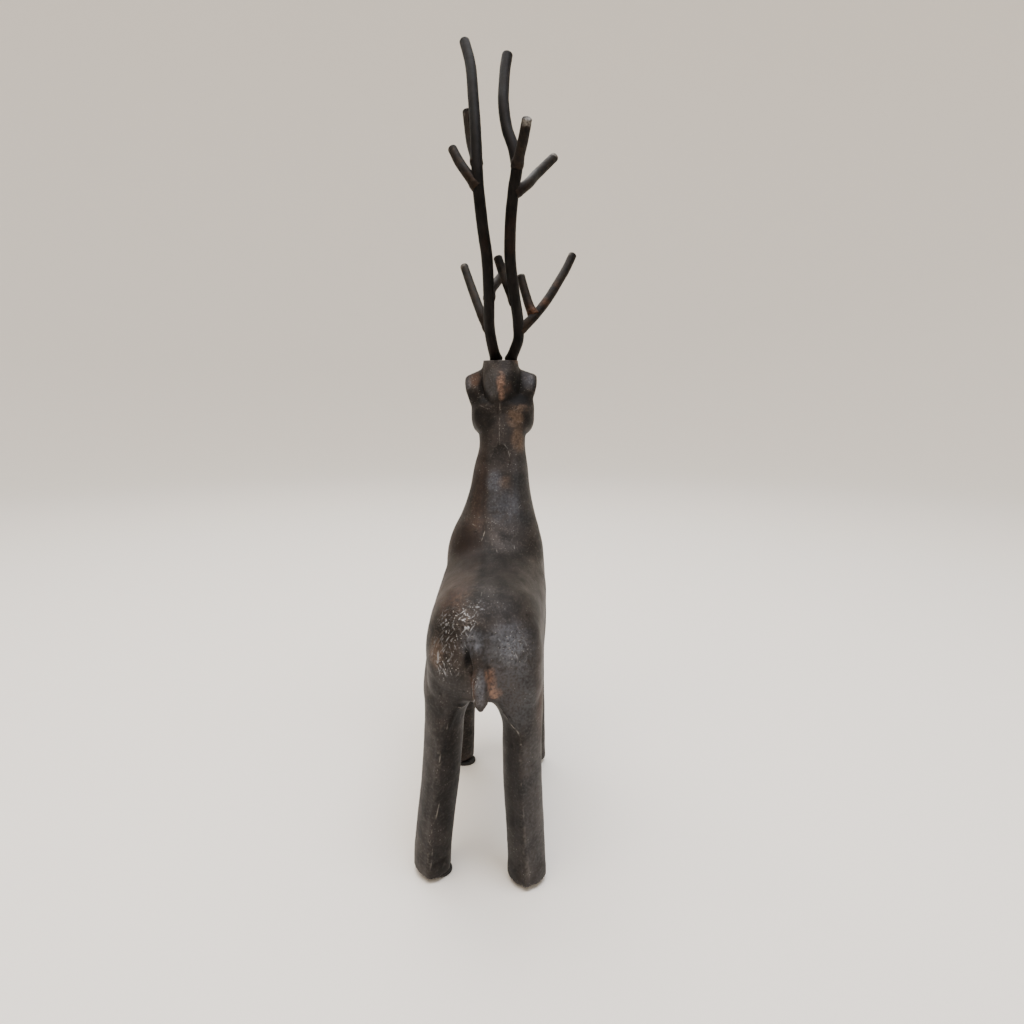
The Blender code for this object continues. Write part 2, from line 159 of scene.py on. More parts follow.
def makePiece(name, points, faces, material, node=None, attributes=None):
    # One smooth-shaded object at the origin, with its place in its mesh
    mesh = bpy.data.meshes.new(name)
    mesh.from_pydata(toScene(points).tolist(), [], faces)
    form = bmesh.new()
    form.from_mesh(mesh)
    bmesh.ops.recalc_face_normals(form, faces=form.faces)
    form.to_mesh(mesh)
    form.free()
    mesh.shade_smooth()
    for key, values in (attributes or {}).items():
        mesh.attributes.new(key, "FLOAT", "POINT").data.foreach_set("value", values.astype(np.float32))
    mesh.materials.append(material)
    piece = bpy.data.objects.new(name, mesh)
    bpy.context.scene.collection.objects.link(piece)
    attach(piece, "root")
    if node:
        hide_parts(node)
    return piece


def tubeFaces(steps, sides, first=0):
    # Quads between neighbouring rings of a grid, and one face over each end
    ring, side = np.meshgrid(np.arange(steps - 1), np.arange(sides), indexing="ij")
    after = (side + 1) % sides
    quads = np.stack([ring * sides + side, ring * sides + after, (ring + 1) * sides + after,
                      (ring + 1) * sides + side], axis=-1).reshape(-1, 4) + first
    ends = [list(range(first + sides - 1, first - 1, -1)),
            list(range(first + (steps - 1) * sides, first + steps * sides))]
    return quads.tolist() + ends


def roundAngles(sides):
    return np.linspace(0.0, 2 * math.pi, sides, endpoint=False)


def turned(reach, rise, sides):
    # A profile of distance out and height, turned round the upright axis
    angle = roundAngles(sides)
    return np.stack([reach[:, None] * np.cos(angle), reach[:, None] * np.sin(angle),
                     rise[:, None] + 0 * angle], axis=-1)


# Casting: the forms it melts together, each as rings of its own section
casting = {
    "voxel": 0.70, "soften": 4,
    "torso": {
        "steps": 90, "sides": 96, "power": 2.5,
        # y, x, z of the widest line, half width, rise above it, drop below it
        "rows": [
            (-1.8, 0, 72.5, 5, 5, 5), (-4, 0, 73.4, 12, 11, 10.8), (-8, 0.1, 74, 17.2, 16, 13.6),
            (-14, 0.2, 74.4, 19.6, 20, 15), (-22, 0.2, 75.4, 20.3, 21.2, 15.8),
            (-36, 0.5, 76.6, 20.7, 19.8, 16.6), (-52, 0.8, 78.2, 21.1, 17.6, 19),
            (-68, 0.9, 79.4, 21.5, 17.8, 21.8), (-82, 1, 80.2, 21.5, 19.2, 23.6),
            (-93, 0.9, 80.4, 19.8, 19, 21), (-100, 0.6, 81.4, 12, 12, 13), (-103, 0.4, 82, 5, 5, 6),
        ],
    },
    "head": {
        "steps": 60, "sides": 72, "power": 3,
        "rows": [
            (-101.4, -0.6, 152.2, 6, 4.2, 4.6), (-103, -0.7, 151.8, 11.4, 6.4, 8.6),
            (-107, -0.9, 151.6, 13.5, 8.6, 10.2), (-113, -0.7, 152, 13.8, 14.8, 11),
            (-118.5, 0, 152.4, 13.4, 15.4, 11.8), (-124, 0, 152.2, 11.4, 13.2, 11.4),
            (-129, 0, 151.2, 9.2, 10.4, 10), (-134.5, 0, 149.8, 7.4, 8.2, 8.4),
            (-140, 0, 148.6, 6.3, 6.8, 7.2), (-145, 0, 147.8, 6.1, 6.4, 6.6),
            (-148.6, 0, 147.4, 5.4, 5.8, 6), (-150.3, 0, 147.2, 3.6, 4.2, 4.4), (-151, 0, 147, 2, 2.4, 2.4),
        ],
    },
    "neck": {
        "steps": 90, "sides": 84, "power": (2.2, 2.3),
        # z, x, y, half width, reach to the front, reach to the back
        "rows": [
            (56.4, 0.4, -90, 8, 8, 8), (58.6, 0.5, -90, 14, 14, 13), (63, 0.6, -90, 18.2, 19, 15),
            (71, 0.8, -90.5, 20.6, 22.6, 17), (80, 0.9, -91, 21.2, 24.2, 20),
            (88, 1.2, -91.5, 21, 24.2, 23), (95.5, 1.3, -92.5, 20.5, 22.8, 22.4),
            (103, 1.1, -94.5, 18.5, 20.6, 18.6), (110, 0.4, -97, 15.7, 19, 16),
            (119, -0.1, -100.5, 13.2, 17.2, 14.2), (129, -0.4, -104, 11.7, 15.6, 12.8),
            (138, -0.8, -107, 10.1, 14.6, 11.8), (145, -0.6, -109.5, 10.4, 14, 11.2),
            (152, -0.3, -111.5, 10, 12, 10.4),
        ],
    },
    "poll": {
        "steps": 40, "sides": 64, "power": (2.1, 2.1),
        "rows": [
            (153.6, 0, -110.5, 2, 3, 5.4), (157, 0, -110.7, 5, 6.6, 8.8), (161, -0.1, -111, 7.7, 8.8, 11),
            (165, -0.1, -111.4, 8.7, 9.6, 11.8), (169, 0, -112, 8.5, 9.8, 11),
            (173, 0.2, -112.8, 7.9, 9, 9.2), (176.5, 0.2, -113.2, 7.4, 7.8, 6.6),
        ],
    },
    "ear": {
        "steps": 40, "sides": 48, "power": (5, 5),
        "rows": [
            (153.5, 9.8, -110.6, 2.8, 3.2, 2.6), (157.5, 10.4, -110.6, 3.6, 3, 3),
            (161.5, 11.1, -111.6, 4.1, 1, 4.7), (165, 11.5, -112.4, 4.3, -0.6, 4.2),
            (168, 11.7, -113, 4.3, -0.8, 3.2), (170.1, 11.6, -113.4, 4.3, -0.4, 2.5),
            (171, 11.4, -113.3, 4, 0.2, 1.8),
        ],
        # the top edge falls outwards, from this height up and from this distance out
        "fall": {1: 0.44, -1: 0.34}, "fallFrom": (160, 9),
    },
    "tail": {
        "steps": 40, "sides": 40, "power": (2, 1.5),
        "rows": [
            (84, 1.6, -5.6, 1.8, 2, 1.6), (80, 1.6, -3.2, 2.2, 2.4, 2.2), (75.5, 1.1, -1.2, 2.6, 2.6, 2.2),
            (70.5, 0.3, 0.2, 2.9, 2.5, 2.1), (66.4, 0, 1, 3, 2.3, 1.8), (63.8, 0, 1.4, 2.5, 1.7, 1.4),
            (62, 0, 1.6, 1.5, 1, 0.9), (60.9, 0, 1.7, 0.6, 0.6, 0.5),
        ],
    },
    "leg": {
        "steps": 70, "sides": 56, "power": (1.9, 1.5),
        # z, y, half width, reach to the front, reach to the back
        "hind": [
            (0, -7.7, 6.5, 7.6, 8.4), (6, -7.9, 6.5, 7.6, 8.4), (19, -8.8, 6.5, 8, 8.5),
            (33, -10.2, 6.6, 8.8, 8.8), (45, -12, 6.7, 10.4, 9.6), (54, -14, 7.1, 12.4, 11),
            (58, -14.9, 8.2, 13.3, 11.7), (61, -15.6, 9.8, 14, 12.2), (68, -16.8, 9.8, 14.6, 12.4),
            (76, -17.6, 9.4, 14, 11.8), (84, -18, 7, 10, 8.6),
        ],
        "front": [
            (0, -88.1, 6.2, 7, 7.2), (6, -88.2, 6.2, 7, 7.2), (22, -88.6, 6.3, 7.2, 7.3),
            (38, -88.8, 6.5, 7.8, 7.6), (52, -88.4, 7.1, 9.6, 9.2), (64, -87.4, 8.8, 12.6, 12),
            (78, -86, 9, 13, 13), (86, -86, 7, 9, 9),
        ],
        # how far each leg's middle stands out from the deer's middle plane at these heights, and how far the
        # whole leg is shifted along the deer
        "heights": {"hind": (0, 6, 19, 33, 54, 58, 61, 68, 84), "front": (0, 22, 38, 52, 64, 86)},
        "splay": {
            "hindLeft": (18.1, 17.9, 16.6, 15, 13.7, 12.8, 11.6, 11.2, 9.6),
            "hindRight": (14.9, 14.7, 14, 13.2, 12.7, 11.7, 10.2, 10, 9.4),
            "frontLeft": (17.4, 16.7, 15.6, 14.2, 12.6, 10.6),
            "frontRight": (14.7, 14.2, 13.6, 13, 12, 10.4),
        },
        "shift": {"hindLeft": -1.6, "hindRight": 1.4, "frontLeft": 0, "frontRight": -0.4},
    },
    "haunch": {
        "steps": 50, "sides": 60, "power": (2.2, 2.6),
        # z, distance out from the middle plane, y, half width, reach to the front, reach to the back
        "rows": [
            (55, 13, -15.4, 3.4, 6, 6), (58, 12.2, -16.2, 5.4, 10, 9.6), (61, 11.4, -16.9, 7.4, 12.4, 11.8),
            (65, 10.5, -17.5, 9.2, 14, 13.2), (70, 9.9, -17.9, 10, 14, 13.4),
            (78, 9.5, -18.4, 10.2, 14, 12.8), (85, 9, -19.4, 9.4, 12, 11), (90, 8.6, -20.4, 6, 8, 7),
        ],
    },
    "eye": {"middle": (9.3, -127.2, 155.4), "reach": (1.9, 2.5, 2), "steps": 24, "sides": 32},
}


def oval(sides, power):
    # A superellipse: cosine and sine, each raised to 2 over the power and given back its sign
    across, along = np.cos(roundAngles(sides)), np.sin(roundAngles(sides))
    return (np.sign(across) * np.abs(across) ** (2 / power), np.sign(along) * np.abs(along) ** (2 / power))


def uprightSurface(form):
    # A form that runs along the deer: at each step a superellipse across it, with its own rise and drop
    y, x, z, half, rise, drop = (column[:, None] for column in smoothRows(form["rows"], form["steps"]).T)
    across, up = oval(form["sides"], form["power"])
    height = z + np.where(up > 0, rise, drop) * up
    return np.stack([x + half * across, y + 0 * across, height], axis=-1)


def levelSurface(form, rows):
    # A form that runs upwards: at each step a level section, half one superellipse and half another
    z, x, y, half, front, back = (column[:, None] for column in smoothRows(rows, form["steps"]).T)
    frontAcross, frontAlong = oval(form["sides"], form["power"][0])
    backAcross, backAlong = oval(form["sides"], form["power"][1])
    toBack = backAlong > 0
    across = np.where(toBack, backAcross, frontAcross)
    along = np.where(toBack, back * backAlong, front * frontAlong)
    return np.stack([x + half * across, y + along, z + 0 * across], axis=-1)


def earSurface(form, side):
    # An ear on the given side, whose rings tilt as its top edge falls outwards
    rows = [(z, side * x, *rest) for z, x, *rest in form["rows"]]
    bottom, inner = form["fallFrom"]
    height = form["rows"][-1][0] - bottom
    grid = levelSurface(form, rows)
    share = np.clip((grid[..., 2] - bottom) / height, 0.0, 1.0)
    grid[..., 2] -= form["fall"][side] * share * (np.abs(grid[..., 0]) - inner)
    return grid


def legRows(leg):
    form = casting["leg"]
    pair = "hind" if leg.startswith("hind") else "front"
    side = 1.0 if leg.endswith("Left") else -1.0
    return [(z, side * np.interp(z, form["heights"][pair], form["splay"][leg]), y + form["shift"][leg], *rest)
            for z, y, *rest in form[pair]]


def haunchRows(leg):
    side = 1.0 if leg.endswith("Left") else -1.0
    shift = casting["leg"]["shift"][leg]
    return [(z, side * x, y + shift, *rest) for z, x, y, *rest in casting["haunch"]["rows"]]


def eyeSurface(form, side):
    # An ellipsoid: rings of radius sine, set along the height by cosine
    fall = np.linspace(0.04, math.pi - 0.04, form["steps"])
    x, y, z = form["middle"]
    ball = turned(np.sin(fall), np.cos(fall), form["sides"])
    return np.array([side * x, y, z]) + ball * np.array(form["reach"])


def meltedSkin():
    # All forms in one mesh, remeshed as one closed skin of small quads
    grids = [uprightSurface(casting["torso"]), uprightSurface(casting["head"])]
    grids += [levelSurface(casting[name], casting[name]["rows"]) for name in ("neck", "poll", "tail")]
    grids += [levelSurface(casting["leg"], legRows(leg)) for leg in casting["leg"]["splay"]]
    grids += [levelSurface(casting["haunch"], haunchRows(leg)) for leg in ("hindLeft", "hindRight")]
    for side in (1.0, -1.0):
        grids += [earSurface(casting["ear"], side), eyeSurface(casting["eye"], side)]
    points, faces = [], []
    for grid in grids:
        faces += tubeFaces(*grid.shape[:2], first=sum(len(p) for p in points))
        points.append(grid.reshape(-1, 3))
    mesh = bpy.data.meshes.new("forms")
    mesh.from_pydata(toScene(np.concatenate(points)).tolist(), [], faces)
    rough = bpy.data.objects.new("forms", mesh)
    bpy.context.scene.collection.objects.link(rough)
    melt = rough.modifiers.new("melt", "REMESH")
    melt.mode = "VOXEL"
    melt.voxel_size = casting["voxel"] * mm
    soften = rough.modifiers.new("soften", "SMOOTH")
    soften.factor = 0.5
    soften.iterations = casting["soften"]
    bpy.context.view_layer.update()
    skin = bpy.data.meshes.new_from_object(rough.evaluated_get(bpy.context.evaluated_depsgraph_get()))
    bpy.data.objects.remove(rough, do_unlink=True)
    count = len(skin.vertices)
    points = np.empty(count * 3)
    skin.vertices.foreach_get("co", points)
    quads = np.empty(len(skin.polygons) * 4, dtype=np.int64)
    skin.polygons.foreach_get("vertices", quads)
    bpy.data.meshes.remove(skin)
    return (points.reshape(-1, 3) - deerOrigin) / mm, quads.reshape(-1, 4)


def quadNormals(points, quads):
    # At each point the sum of its quads' diagonals' cross products, made a unit long
    cross = np.cross(points[quads[:, 2]] - points[quads[:, 0]], points[quads[:, 3]] - points[quads[:, 1]])
    total = np.stack([sum(np.bincount(quads[:, k], cross[:, axis], len(points)) for k in range(4))
                      for axis in range(3)], axis=1)
    return unit(total)


def neighbourMiddle(points, quads):
    # The average of each point's neighbours round its quads
    total, count = np.zeros_like(points), np.zeros(len(points))
    for k in range(4):
        here, there = quads[:, k], quads[:, (k + 1) % 4]
        for start, end in ((here, there), (there, here)):
            count += np.bincount(start, minlength=len(points))
            total += np.stack([np.bincount(start, along[end], len(points)) for along in points.T], axis=1)
    return total / count[:, None]


def relax(points, quads, weight, rounds):
    # Each point moves towards its neighbours' middle, by its own weight
    for _ in range(rounds):
        points = points + weight[:, None] * (neighbourMiddle(points, quads) - points)
    return points


# Path of the flash on the left haunch
flash = [(9.4, -7.4, 59.4), (7.3, -9.1, 58), (5, -12.5, 57.4)]

# What is worked into the casting's skin, in millimetres
carving = {
    # where two forms are smoothed into each other: middle, reach, rounds; the weight of one round; then the
    # weight and rounds of the smoothing that the skin's directions are taken from
    "blends": [
        (0, -72, 96, 27, 24, 16, 120), (9, -4, 61, 5, 7, 8, 12), (-9, -4, 61, 5, 7, 8, 12),
        (4.6, -1.5, 69, 2.4, 4, 8, 8), (9, -104, 157.5, 6, 5, 5, 40), (-10, -104, 157.5, 6, 5, 5, 40),
    ],
    "blendWeight": 0.6, "settle": (0.5, 6),
    # flat dressed down the back of the neck: z, x of its left edge, x of its right edge
    "neckFlat": [(98, 4.2, -9.8), (108, 4.4, -9.5), (117, 4.3, -9.1), (126, 4.6, -8.4), (138, 4.9, -7.4)],
    # how far the skin is moved onto it, and the heights where that starts and ends
    "flatShare": 0.55, "flatFrom": (96, 112), "flatTo": (146, 134),
    # lines raised along the skin or, below 0, cut into it: height, width, path
    "lines": [
        # edge that runs on from the flat down the left of the back to the root of the tail
        (0.25, 1.6, [(5.3, -77, 102), (5.6, -70, 98.4), (5, -58, 96.2), (4.3, -45, 95), (2.6, -25, 95),
                     (0.9, -12, 92.6), (0.6, -6, 86)]),
        # casting seam down the nape, and the weld bead that curls off its end
        (0.26, 0.6, [(-0.1, -102, 156.5), (-0.1, -101.2, 150), (-0.1, -98.2, 143), (-0.3, -96.8, 139.4)]),
        (0.24, 0.6, [(-0.9, -96.4, 139.4), (-2.4, -96, 138.6), (-3.4, -95.8, 137.5), (-4.1, -95.5, 136),
                     (-4.6, -95, 133.8), (-4.9, -94.4, 131)]),
        # flash on the left haunch
        (0.5, 0.7, flash),
        # arrises of the hind legs where they run in to the crotch
        (0.35, 0.8, [(-6.2, -5.6, 58.4), (-9.7, -2.9, 54.4), (-12.4, -1.2, 51.6), (-12.9, -1, 46)]),
        (0.3, 0.9, [(6.6, -7.8, 58.6), (9.6, -7, 54.6), (12.4, -5.6, 50), (14, -3.8, 44)]),
        # beside the flat
        (-0.2, 0.9, [(6.3, -95.2, 136), (6, -89.5, 124), (5.8, -85, 116), (5.9, -80.4, 108.7),
                     (5.8, -76.5, 103)]),
        # between the poll and the left ear
        (-1, 1, [(8.2, -108.4, 170.5), (8.4, -107.4, 164), (7, -105.4, 159.3), (3.4, -102.4, 156.4)]),
        # beside the root of the tail
        (-1.5, 1, [(3.6, -5.4, 81), (4.4, -2.6, 78.3), (3.6, -0.8, 75.6), (3.4, -0.6, 73.6)]),
    ],
    # height and width of the arris down each hind leg, and how high up it ends
    "legRidge": (0.6, 1.3), "ridgeTop": 50,
    # painted shade on the face inside that arris: how dark it is, how wide, how far forward, and where its
    # edge and top fade
    "innerShade": {"dark": 0.3, "width": 12, "front": -20, "edge": (-0.5, 0.4), "top": (58, 48)},
    # hind soles that spread over their pads: middle, reach, height
    "soles": [(13.8, -3.6, 1.4, 4, 4.4, 3.2, 1.1), (-10.4, -2.8, 2, 4, 4, 4, 0.4),
              (-19.4, -2.6, 2, 4, 4, 4, 0.5)],
    "mouth": [(4.4, -150, 145), (5.8, -146, 144.6), (6.3, -141, 144.4), (7.2, -136, 144.9)],
    "mouthCut": 0.55,
    "nostril": {"middle": (3, -150.2, 149.2), "reach": 1.3, "depth": 0.9},
    "lid": {"from": 1.25, "width": 0.6, "depth": 0.4},
}


def neckSection(height, across):
    # How far back the neck's round section reaches at a height and distance across
    rows = np.array(casting["neck"]["rows"])
    x, y, half, back = (np.interp(height, rows[:, 0], rows[:, k]) for k in (1, 2, 3, 5))
    share = np.clip(np.abs(across - x) / half, 0.0, 0.98)
    power = casting["neck"]["power"][1]
    return y + back * (1 - share**power) ** (1 / power)


def dressNeck(points):
    # Between the flat's two edges the neck's back is moved onto the straight line from edge to edge
    x, y, z = points.T
    edges = np.array(carving["neckFlat"])
    left, right = (np.interp(z, edges[:, 0], edges[:, k]) for k in (1, 2))
    share = np.clip((x - right) / (left - right), 0.0, 1.0)
    flat = neckSection(z, right) * (1 - share) + neckSection(z, left) * share
    inside = (x < left) & (x > right) & (y > flat)
    ends = fade(z, *carving["flatFrom"]), fade(z, *carving["flatTo"])
    strength = carving["flatShare"] * ends[0] * ends[1]
    return np.where(inside, (flat - y) * strength, 0.0)


def carvedForms(points):
    # Height along the normal of every line and hollow worked into the skin, in millimetres
    height = np.zeros(len(points))
    for tall, width, path in carving["lines"]:
        height += tall * bump(lineGap(points, path), width)
    tall, width = carving["legRidge"]
    for leg in ("hindLeft", "hindRight"):
        rows = smoothRows(legRows(leg), 40)
        ridge = np.stack([rows[:, 1], rows[:, 2] + rows[:, 5], rows[:, 0]], axis=1)
        height += tall * bump(lineGap(points, ridge[ridge[:, 2] < carving["ridgeTop"]]), width)
    for spot in carving["soles"]:
        height += spot[6] * patch(points, spot)
    # the two sides of the face are alike
    both = np.column_stack([np.abs(points[:, 0]), points[:, 1:]])
    height -= carving["mouthCut"] * bump(lineGap(both, carving["mouth"]), carving["mouthCut"])
    nostril = carving["nostril"]
    spot = np.linalg.norm(both - np.array(nostril["middle"]), axis=1)
    height -= nostril["depth"] * bump(spot, nostril["reach"])
    eye, lid = casting["eye"], carving["lid"]
    shell = np.linalg.norm((both - np.array(eye["middle"])) / np.array(eye["reach"]), axis=1)
    height -= lid["depth"] * bump((shell - lid["from"]) * eye["reach"][0], lid["width"])
    return height


# How the sand mould and the hammer left the skin: feature sizes and heights in millimetres
roughness = {
    "swell": (9, 0.13), "grain": (2.6, 0.035), "sand": (1.5, 0.02), "along": (1, 0.4, 1),
    "pits": {"size": 5.2, "reach": (0.17, 0.05), "depth": 0.16},
    "strokes": {"size": 2.1, "stretch": 2, "along": (0.45, 0, 0.89), "height": 0.1,
                # size and range of the noise that keeps them, range of a core, share and range of the gaps
                "kept": (4.2, -0.28, 0.3), "core": (0.42, 0.12), "gaps": (0.5, 0.3, 0.05)},
    # where the strokes are: middle, reach, strength
    "hips": [(8.4, -7, 86.4, 6.6, 9, 7.6, 1), (3.6, -11, 92, 4, 5, 3.4, 0.4),
             (11.6, -4.2, 75, 5, 6, 5.6, 0.9), (-10.2, -4.6, 80.8, 5.4, 7, 5.8, 0.7),
             (15.2, -6.4, 79, 3, 5, 5, 0.35), (1.8, 2.2, 69, 1.8, 2, 5.4, 0.85)],
}


def patch(points, spot):
    # 1 inside an ellipsoid, given by its middle and reach, and fading to 0 round it
    ring = np.linalg.norm((points - np.array(spot[:3])) / np.array(spot[3:6]), axis=1)
    return fade(ring, 1.35, 0.55)


def cover(points, spots):
    # The strongest spot at every point; a spot is its middle, reach and strength
    return np.max([spot[6] * patch(points, spot) for spot in spots], axis=0)


# Where the patina changes, and where shade and sheen are painted on: the noise below which a blotch is left
# out, then its spots
patches = {
    "rust": (-0.6,
        (-4.2, -2.4, 65.4, 2.4, 4, 2.2, 0.85), (-2.8, -1.4, 72.8, 1.5, 4, 2.8, 0.65),
        (-3.4, -2, 69.2, 1.5, 4, 3.4, 0.5), (-0.6, -100.6, 165.6, 1.8, 4, 4.4, 0.72),
        (-0.9, -101, 160, 1.3, 3, 2.4, 0.5), (-6, -112, 174.6, 2.6, 4, 2.2, 0.3)),
    "tan": (-0.8,
        (-9.6, -102, 154.6, 4.6, 4, 1.8, 0.5), (-6.6, -101.4, 150, 3.6, 4, 4.4, 0.6),
        (-8.4, -100, 141, 3.6, 5, 5.4, 0.55), (-3, -89.6, 123.6, 3.2, 5, 2.6, 0.25),
        (10.6, -84, 112, 4, 8, 14, 0.12), (6.4, -11.6, 93.6, 4.6, 10, 4, 0.12),
        (15.4, -6.4, 78, 3, 5, 5, 0.3)),
    "brown": (-1,
        (15, -66, 92, 10, 30, 16, 1), (12, -28, 94, 8, 20, 8, 0.6), (-6, -3, 66, 7, 6, 9, 0.5),
        (11.4, -109, 167, 2.6, 3, 4, 0.7), (-4.4, -101.6, 162.4, 2.4, 3, 3, 0.6),
        # the long narrow strip down the edge of the right flank is a painted rim light
        (-19.6, -20, 70, 2, 60, 22, 0.6), (2.8, 1.4, 70, 1.4, 3, 5.4, 0.7),
        (8, -90, 118, 3.4, 30, 24, 0.35)),
    # painted bluish sheen, the mirrored lamps and sky, on the neck's flat, the right hip, the tail, the rump
    # and the ears
    "paintedSheen": (-0.8,
        (1.6, -90, 123.6, 3.4, 5, 5.4, 0.45), (-2.6, -86, 114, 7, 9, 8, 0.25),
        (-9.4, -4.2, 80, 9, 10, 8.6, 0.4), (-10, -4.3, 81.2, 4.6, 8, 4.2, 1),
        (0, 1.6, 69, 1.6, 4, 6.4, 0.65), (3, -4, 82, 4.4, 4, 4.6, 0.6),
        (-11.4, -108.8, 165.8, 3.6, 3, 4.4, 0.2), (14.6, -109.2, 164, 1.6, 3, 4, 0.4)),
    "dust": (-1.4,
        (-17, -2, 25, 5, 10, 34, 0.5), (-10, -3, 64, 10, 9, 12, 0.9), (12, -4, 64, 9, 9, 10, 0.4),
        (15, -4, 26, 9, 9, 34, 0.3), (-10, -3, 26, 5, 8, 30, 0.5), (-11, -90, 120, 5, 14, 22, 0.5),
        # the spot on the right hip adds light grains to the painted sheen there, and the one on the poll's
        # left is a painted highlight on its lit side
        (-19, -20, 78, 4, 30, 16, 0.4), (-9, -4, 80, 8, 8, 8, 0.7), (4, -101, 165, 4, 4, 7, 0.6)),
    # painted shade: a black crescent beside the poll, dark under the ears, on the cheeks and nape, between
    # the legs, beside the tail's root, and a darker tone over parts of the neck, back, flanks and legs
    "paintedShade": (-2,
        (-8.4, -103, 165.4, 4.3, 7, 8, 1), (-6, -102, 159.4, 3.4, 5, 3.4, 0.9),
        (7.6, -104, 158.4, 4.4, 4.4, 3.2, 0.85), (-10, -104.4, 158.6, 4.4, 4.4, 3.2, 0.85),
        (7.6, -8, 55, 4, 8, 5, 0.6), (-6.6, -8, 52, 2.4, 8, 9, 0.5), (8.4, -107.2, 163.4, 1.2, 3, 6, 0.8),
        (4.6, -2.4, 78, 1.1, 3, 3.8, 0.95), (12, -107, 157.6, 5, 5, 4.2, 0.75),
        (-11.6, -107, 158.6, 5, 5, 3.6, 0.6), (8, -104, 148, 9, 8, 8, 0.6), (0, -106, 148, 20, 16, 12, 0.3),
        (0, -90, 114, 18, 18, 28, 0.3), (14, -68, 94, 12, 26, 16, 0.75), (0, -44, 97, 20, 34, 8, 0.25),
        (-2, -12, 93, 10, 9, 5, 0.55), (6.8, -88, 116, 2.2, 12, 14, 0.4), (-19, -36, 80, 5, 40, 18, 0.4),
        (14, -4, 62, 9, 9, 9, 0.2), (5.9, -87, 120, 0.8, 10, 18, 0.5), (20, -4, 30, 6, 9, 34, 0.15),
        (-12, -106, 149, 4, 5, 4, 0.6)),
}

# Thin bright lines where the oxide is scratched or an edge is rubbed, and painted highlights down the arrises
# of the hind legs: strength, then a run of points. A strength past 1 draws the line that much wider
nicksAndHighlights = {
    # width, how far off the skin a point of it may be, and size and range of the noise that breaks it up
    "reach": 0.55, "lift": 3, "breaks": (1, -0.25, 0.3),
    "paths": [
        (0.6, [(4.9, -77.8, 104.9), (5.2, -76.8, 103.4), (5.8, -75.2, 101.8)]),
        (0.4, [(-7.4, -74.4, 98.8), (-7.8, -72.8, 98.2)]),
        (0.4, [(-0.4, -71.6, 97.8), (-0.8, -69.8, 97.5)]), (0.3, [(1, -15.6, 95.2), (0.9, -18, 95.6)]),
        (0.3, [(-1.8, -19.2, 95.9), (-2.1, -17.8, 95.9)]), (0.5, [(10.3, -82, 107), (9.4, -81.4, 106.4)]),
        (0.4, [(10.2, -86.6, 114.4), (10.4, -86, 113)]),
        # painted highlights along the arris of the right thigh and down its leg, and down the arris of the
        # left hind leg
        (1.1, [(-6, -5.2, 59), (-7.6, -4.6, 57), (-9.2, -3.5, 55), (-10.9, -2, 53.6)]),
        (1.3, [(-10.9, -2, 53.8), (-12.2, -1.2, 52.6), (-12.7, -1.1, 50.6), (-12.9, -1, 48.4)]),
        (0.4, [(-12.9, 0, 37.4), (-13, 0, 36)]),
        (0.15, [(-13.6, 0.4, 30), (-14.2, 0.4, 18), (-15, 0.4, 4)]),
        (0.5, [(11.8, -6, 53), (12.1, -6, 52.2)]), (0.5, [(14, -3.8, 43), (14.2, -3.7, 41.6)]),
        (0.6, [(14.8, -3, 26), (15.5, -2.6, 22.4)]), (0.5, [(16.9, -1.5, 17.4), (16.9, -1.6, 15.8)]),
        (0.6, [(18, -1.4, 13.6), (17.2, -1.4, 12.4)]), (0.3, [(16.4, -1.6, 14), (17.6, -1.4, 4)]),
        # casting seam down the nape and the bead off its end, and a rub left of it
        (0.32, [(-0.1, -102, 156), (-0.1, -101.2, 150), (-0.1, -98.2, 143), (-0.3, -96.8, 139.4)]),
        (0.4, [(-2.4, -96, 139), (-3.4, -95.8, 138), (-4.1, -95.5, 136.4), (-4.6, -95, 134)]),
        (0.3, [(8.4, -103, 155.4), (5.6, -102, 154.2)]),
        (0.5, [(7.2, -105.4, 160.4), (6.3, -104.6, 158.8)]),
        (0.25, [(-6.2, -101.4, 153.4), (-9, -102, 154.8)]),
        # flash on the left haunch
        (0.7, flash),
    ],
}


def skinTexture(points):
    look = roughness
    hips, strokes = cover(points, look["hips"]), look["strokes"]
    along = np.array(strokes["along"]) / np.linalg.norm(strokes["along"])
    squeezed = points + (1 / strokes["stretch"] - 1) * (points @ along)[:, None] * along
    nearest, second = cellGaps(squeezed, strokes["size"], 5)
    # a stroke is the raised core of a long cell, kept only where the soft noise is high
    keptSize, *keptAt = strokes["kept"]
    gapShare, *gapShadeAt = strokes["gaps"]
    cores = fade(cloudNoise(points, keptSize, 33, 2), *keptAt) * fade(nearest, *strokes["core"])
    height = hips * strokes["height"] * (cores - gapShare * fade(second - nearest, *gapShadeAt))
    # sand skin: lumps that run longer along the body than across it
    longer = points * np.array(look["along"])
    for seed, key in enumerate(("swell", "grain", "sand")):
        size, tall = look[key]
        height += tall * cloudNoise(longer, size, 20 + seed)
    pits = look["pits"]
    nearest, second = cellGaps(points, pits["size"], 9)
    height -= pits["depth"] * fade(nearest, *pits["reach"])
    return height, hips


def scratchesAndHighlights(points, normals):
    # At every point how near the nearest line, nick or painted highlight, is, from 0 to 1, and how far to its
    # side the point lies
    #  over the skin, in millimetres, so that the material can draw it thinner than the skin's quads
    near, aside = np.zeros(len(points)), np.full(len(points), 9.0)
    for strength, path in nicksAndHighlights["paths"]:
        for start, step, gap in pieceGaps(points, path):
            lift = np.einsum("ij,ij->i", gap, normals)
            spread = np.linalg.norm(gap - lift[:, None] * normals, axis=1)
            here = strength * bump(spread, nicksAndHighlights["reach"]) * (np.abs(lift) < nicksAndHighlights["lift"])
            side = unit(np.cross(step / np.linalg.norm(step), normals), 0.2)
            away = np.einsum("ij,ij->i", points - start, side) / max(strength, 1.0)
            aside = np.where(here > near, away, aside)
            near = np.maximum(near, here)
    return np.minimum(near, 1.0), np.clip(aside, -3.0, 3.0)


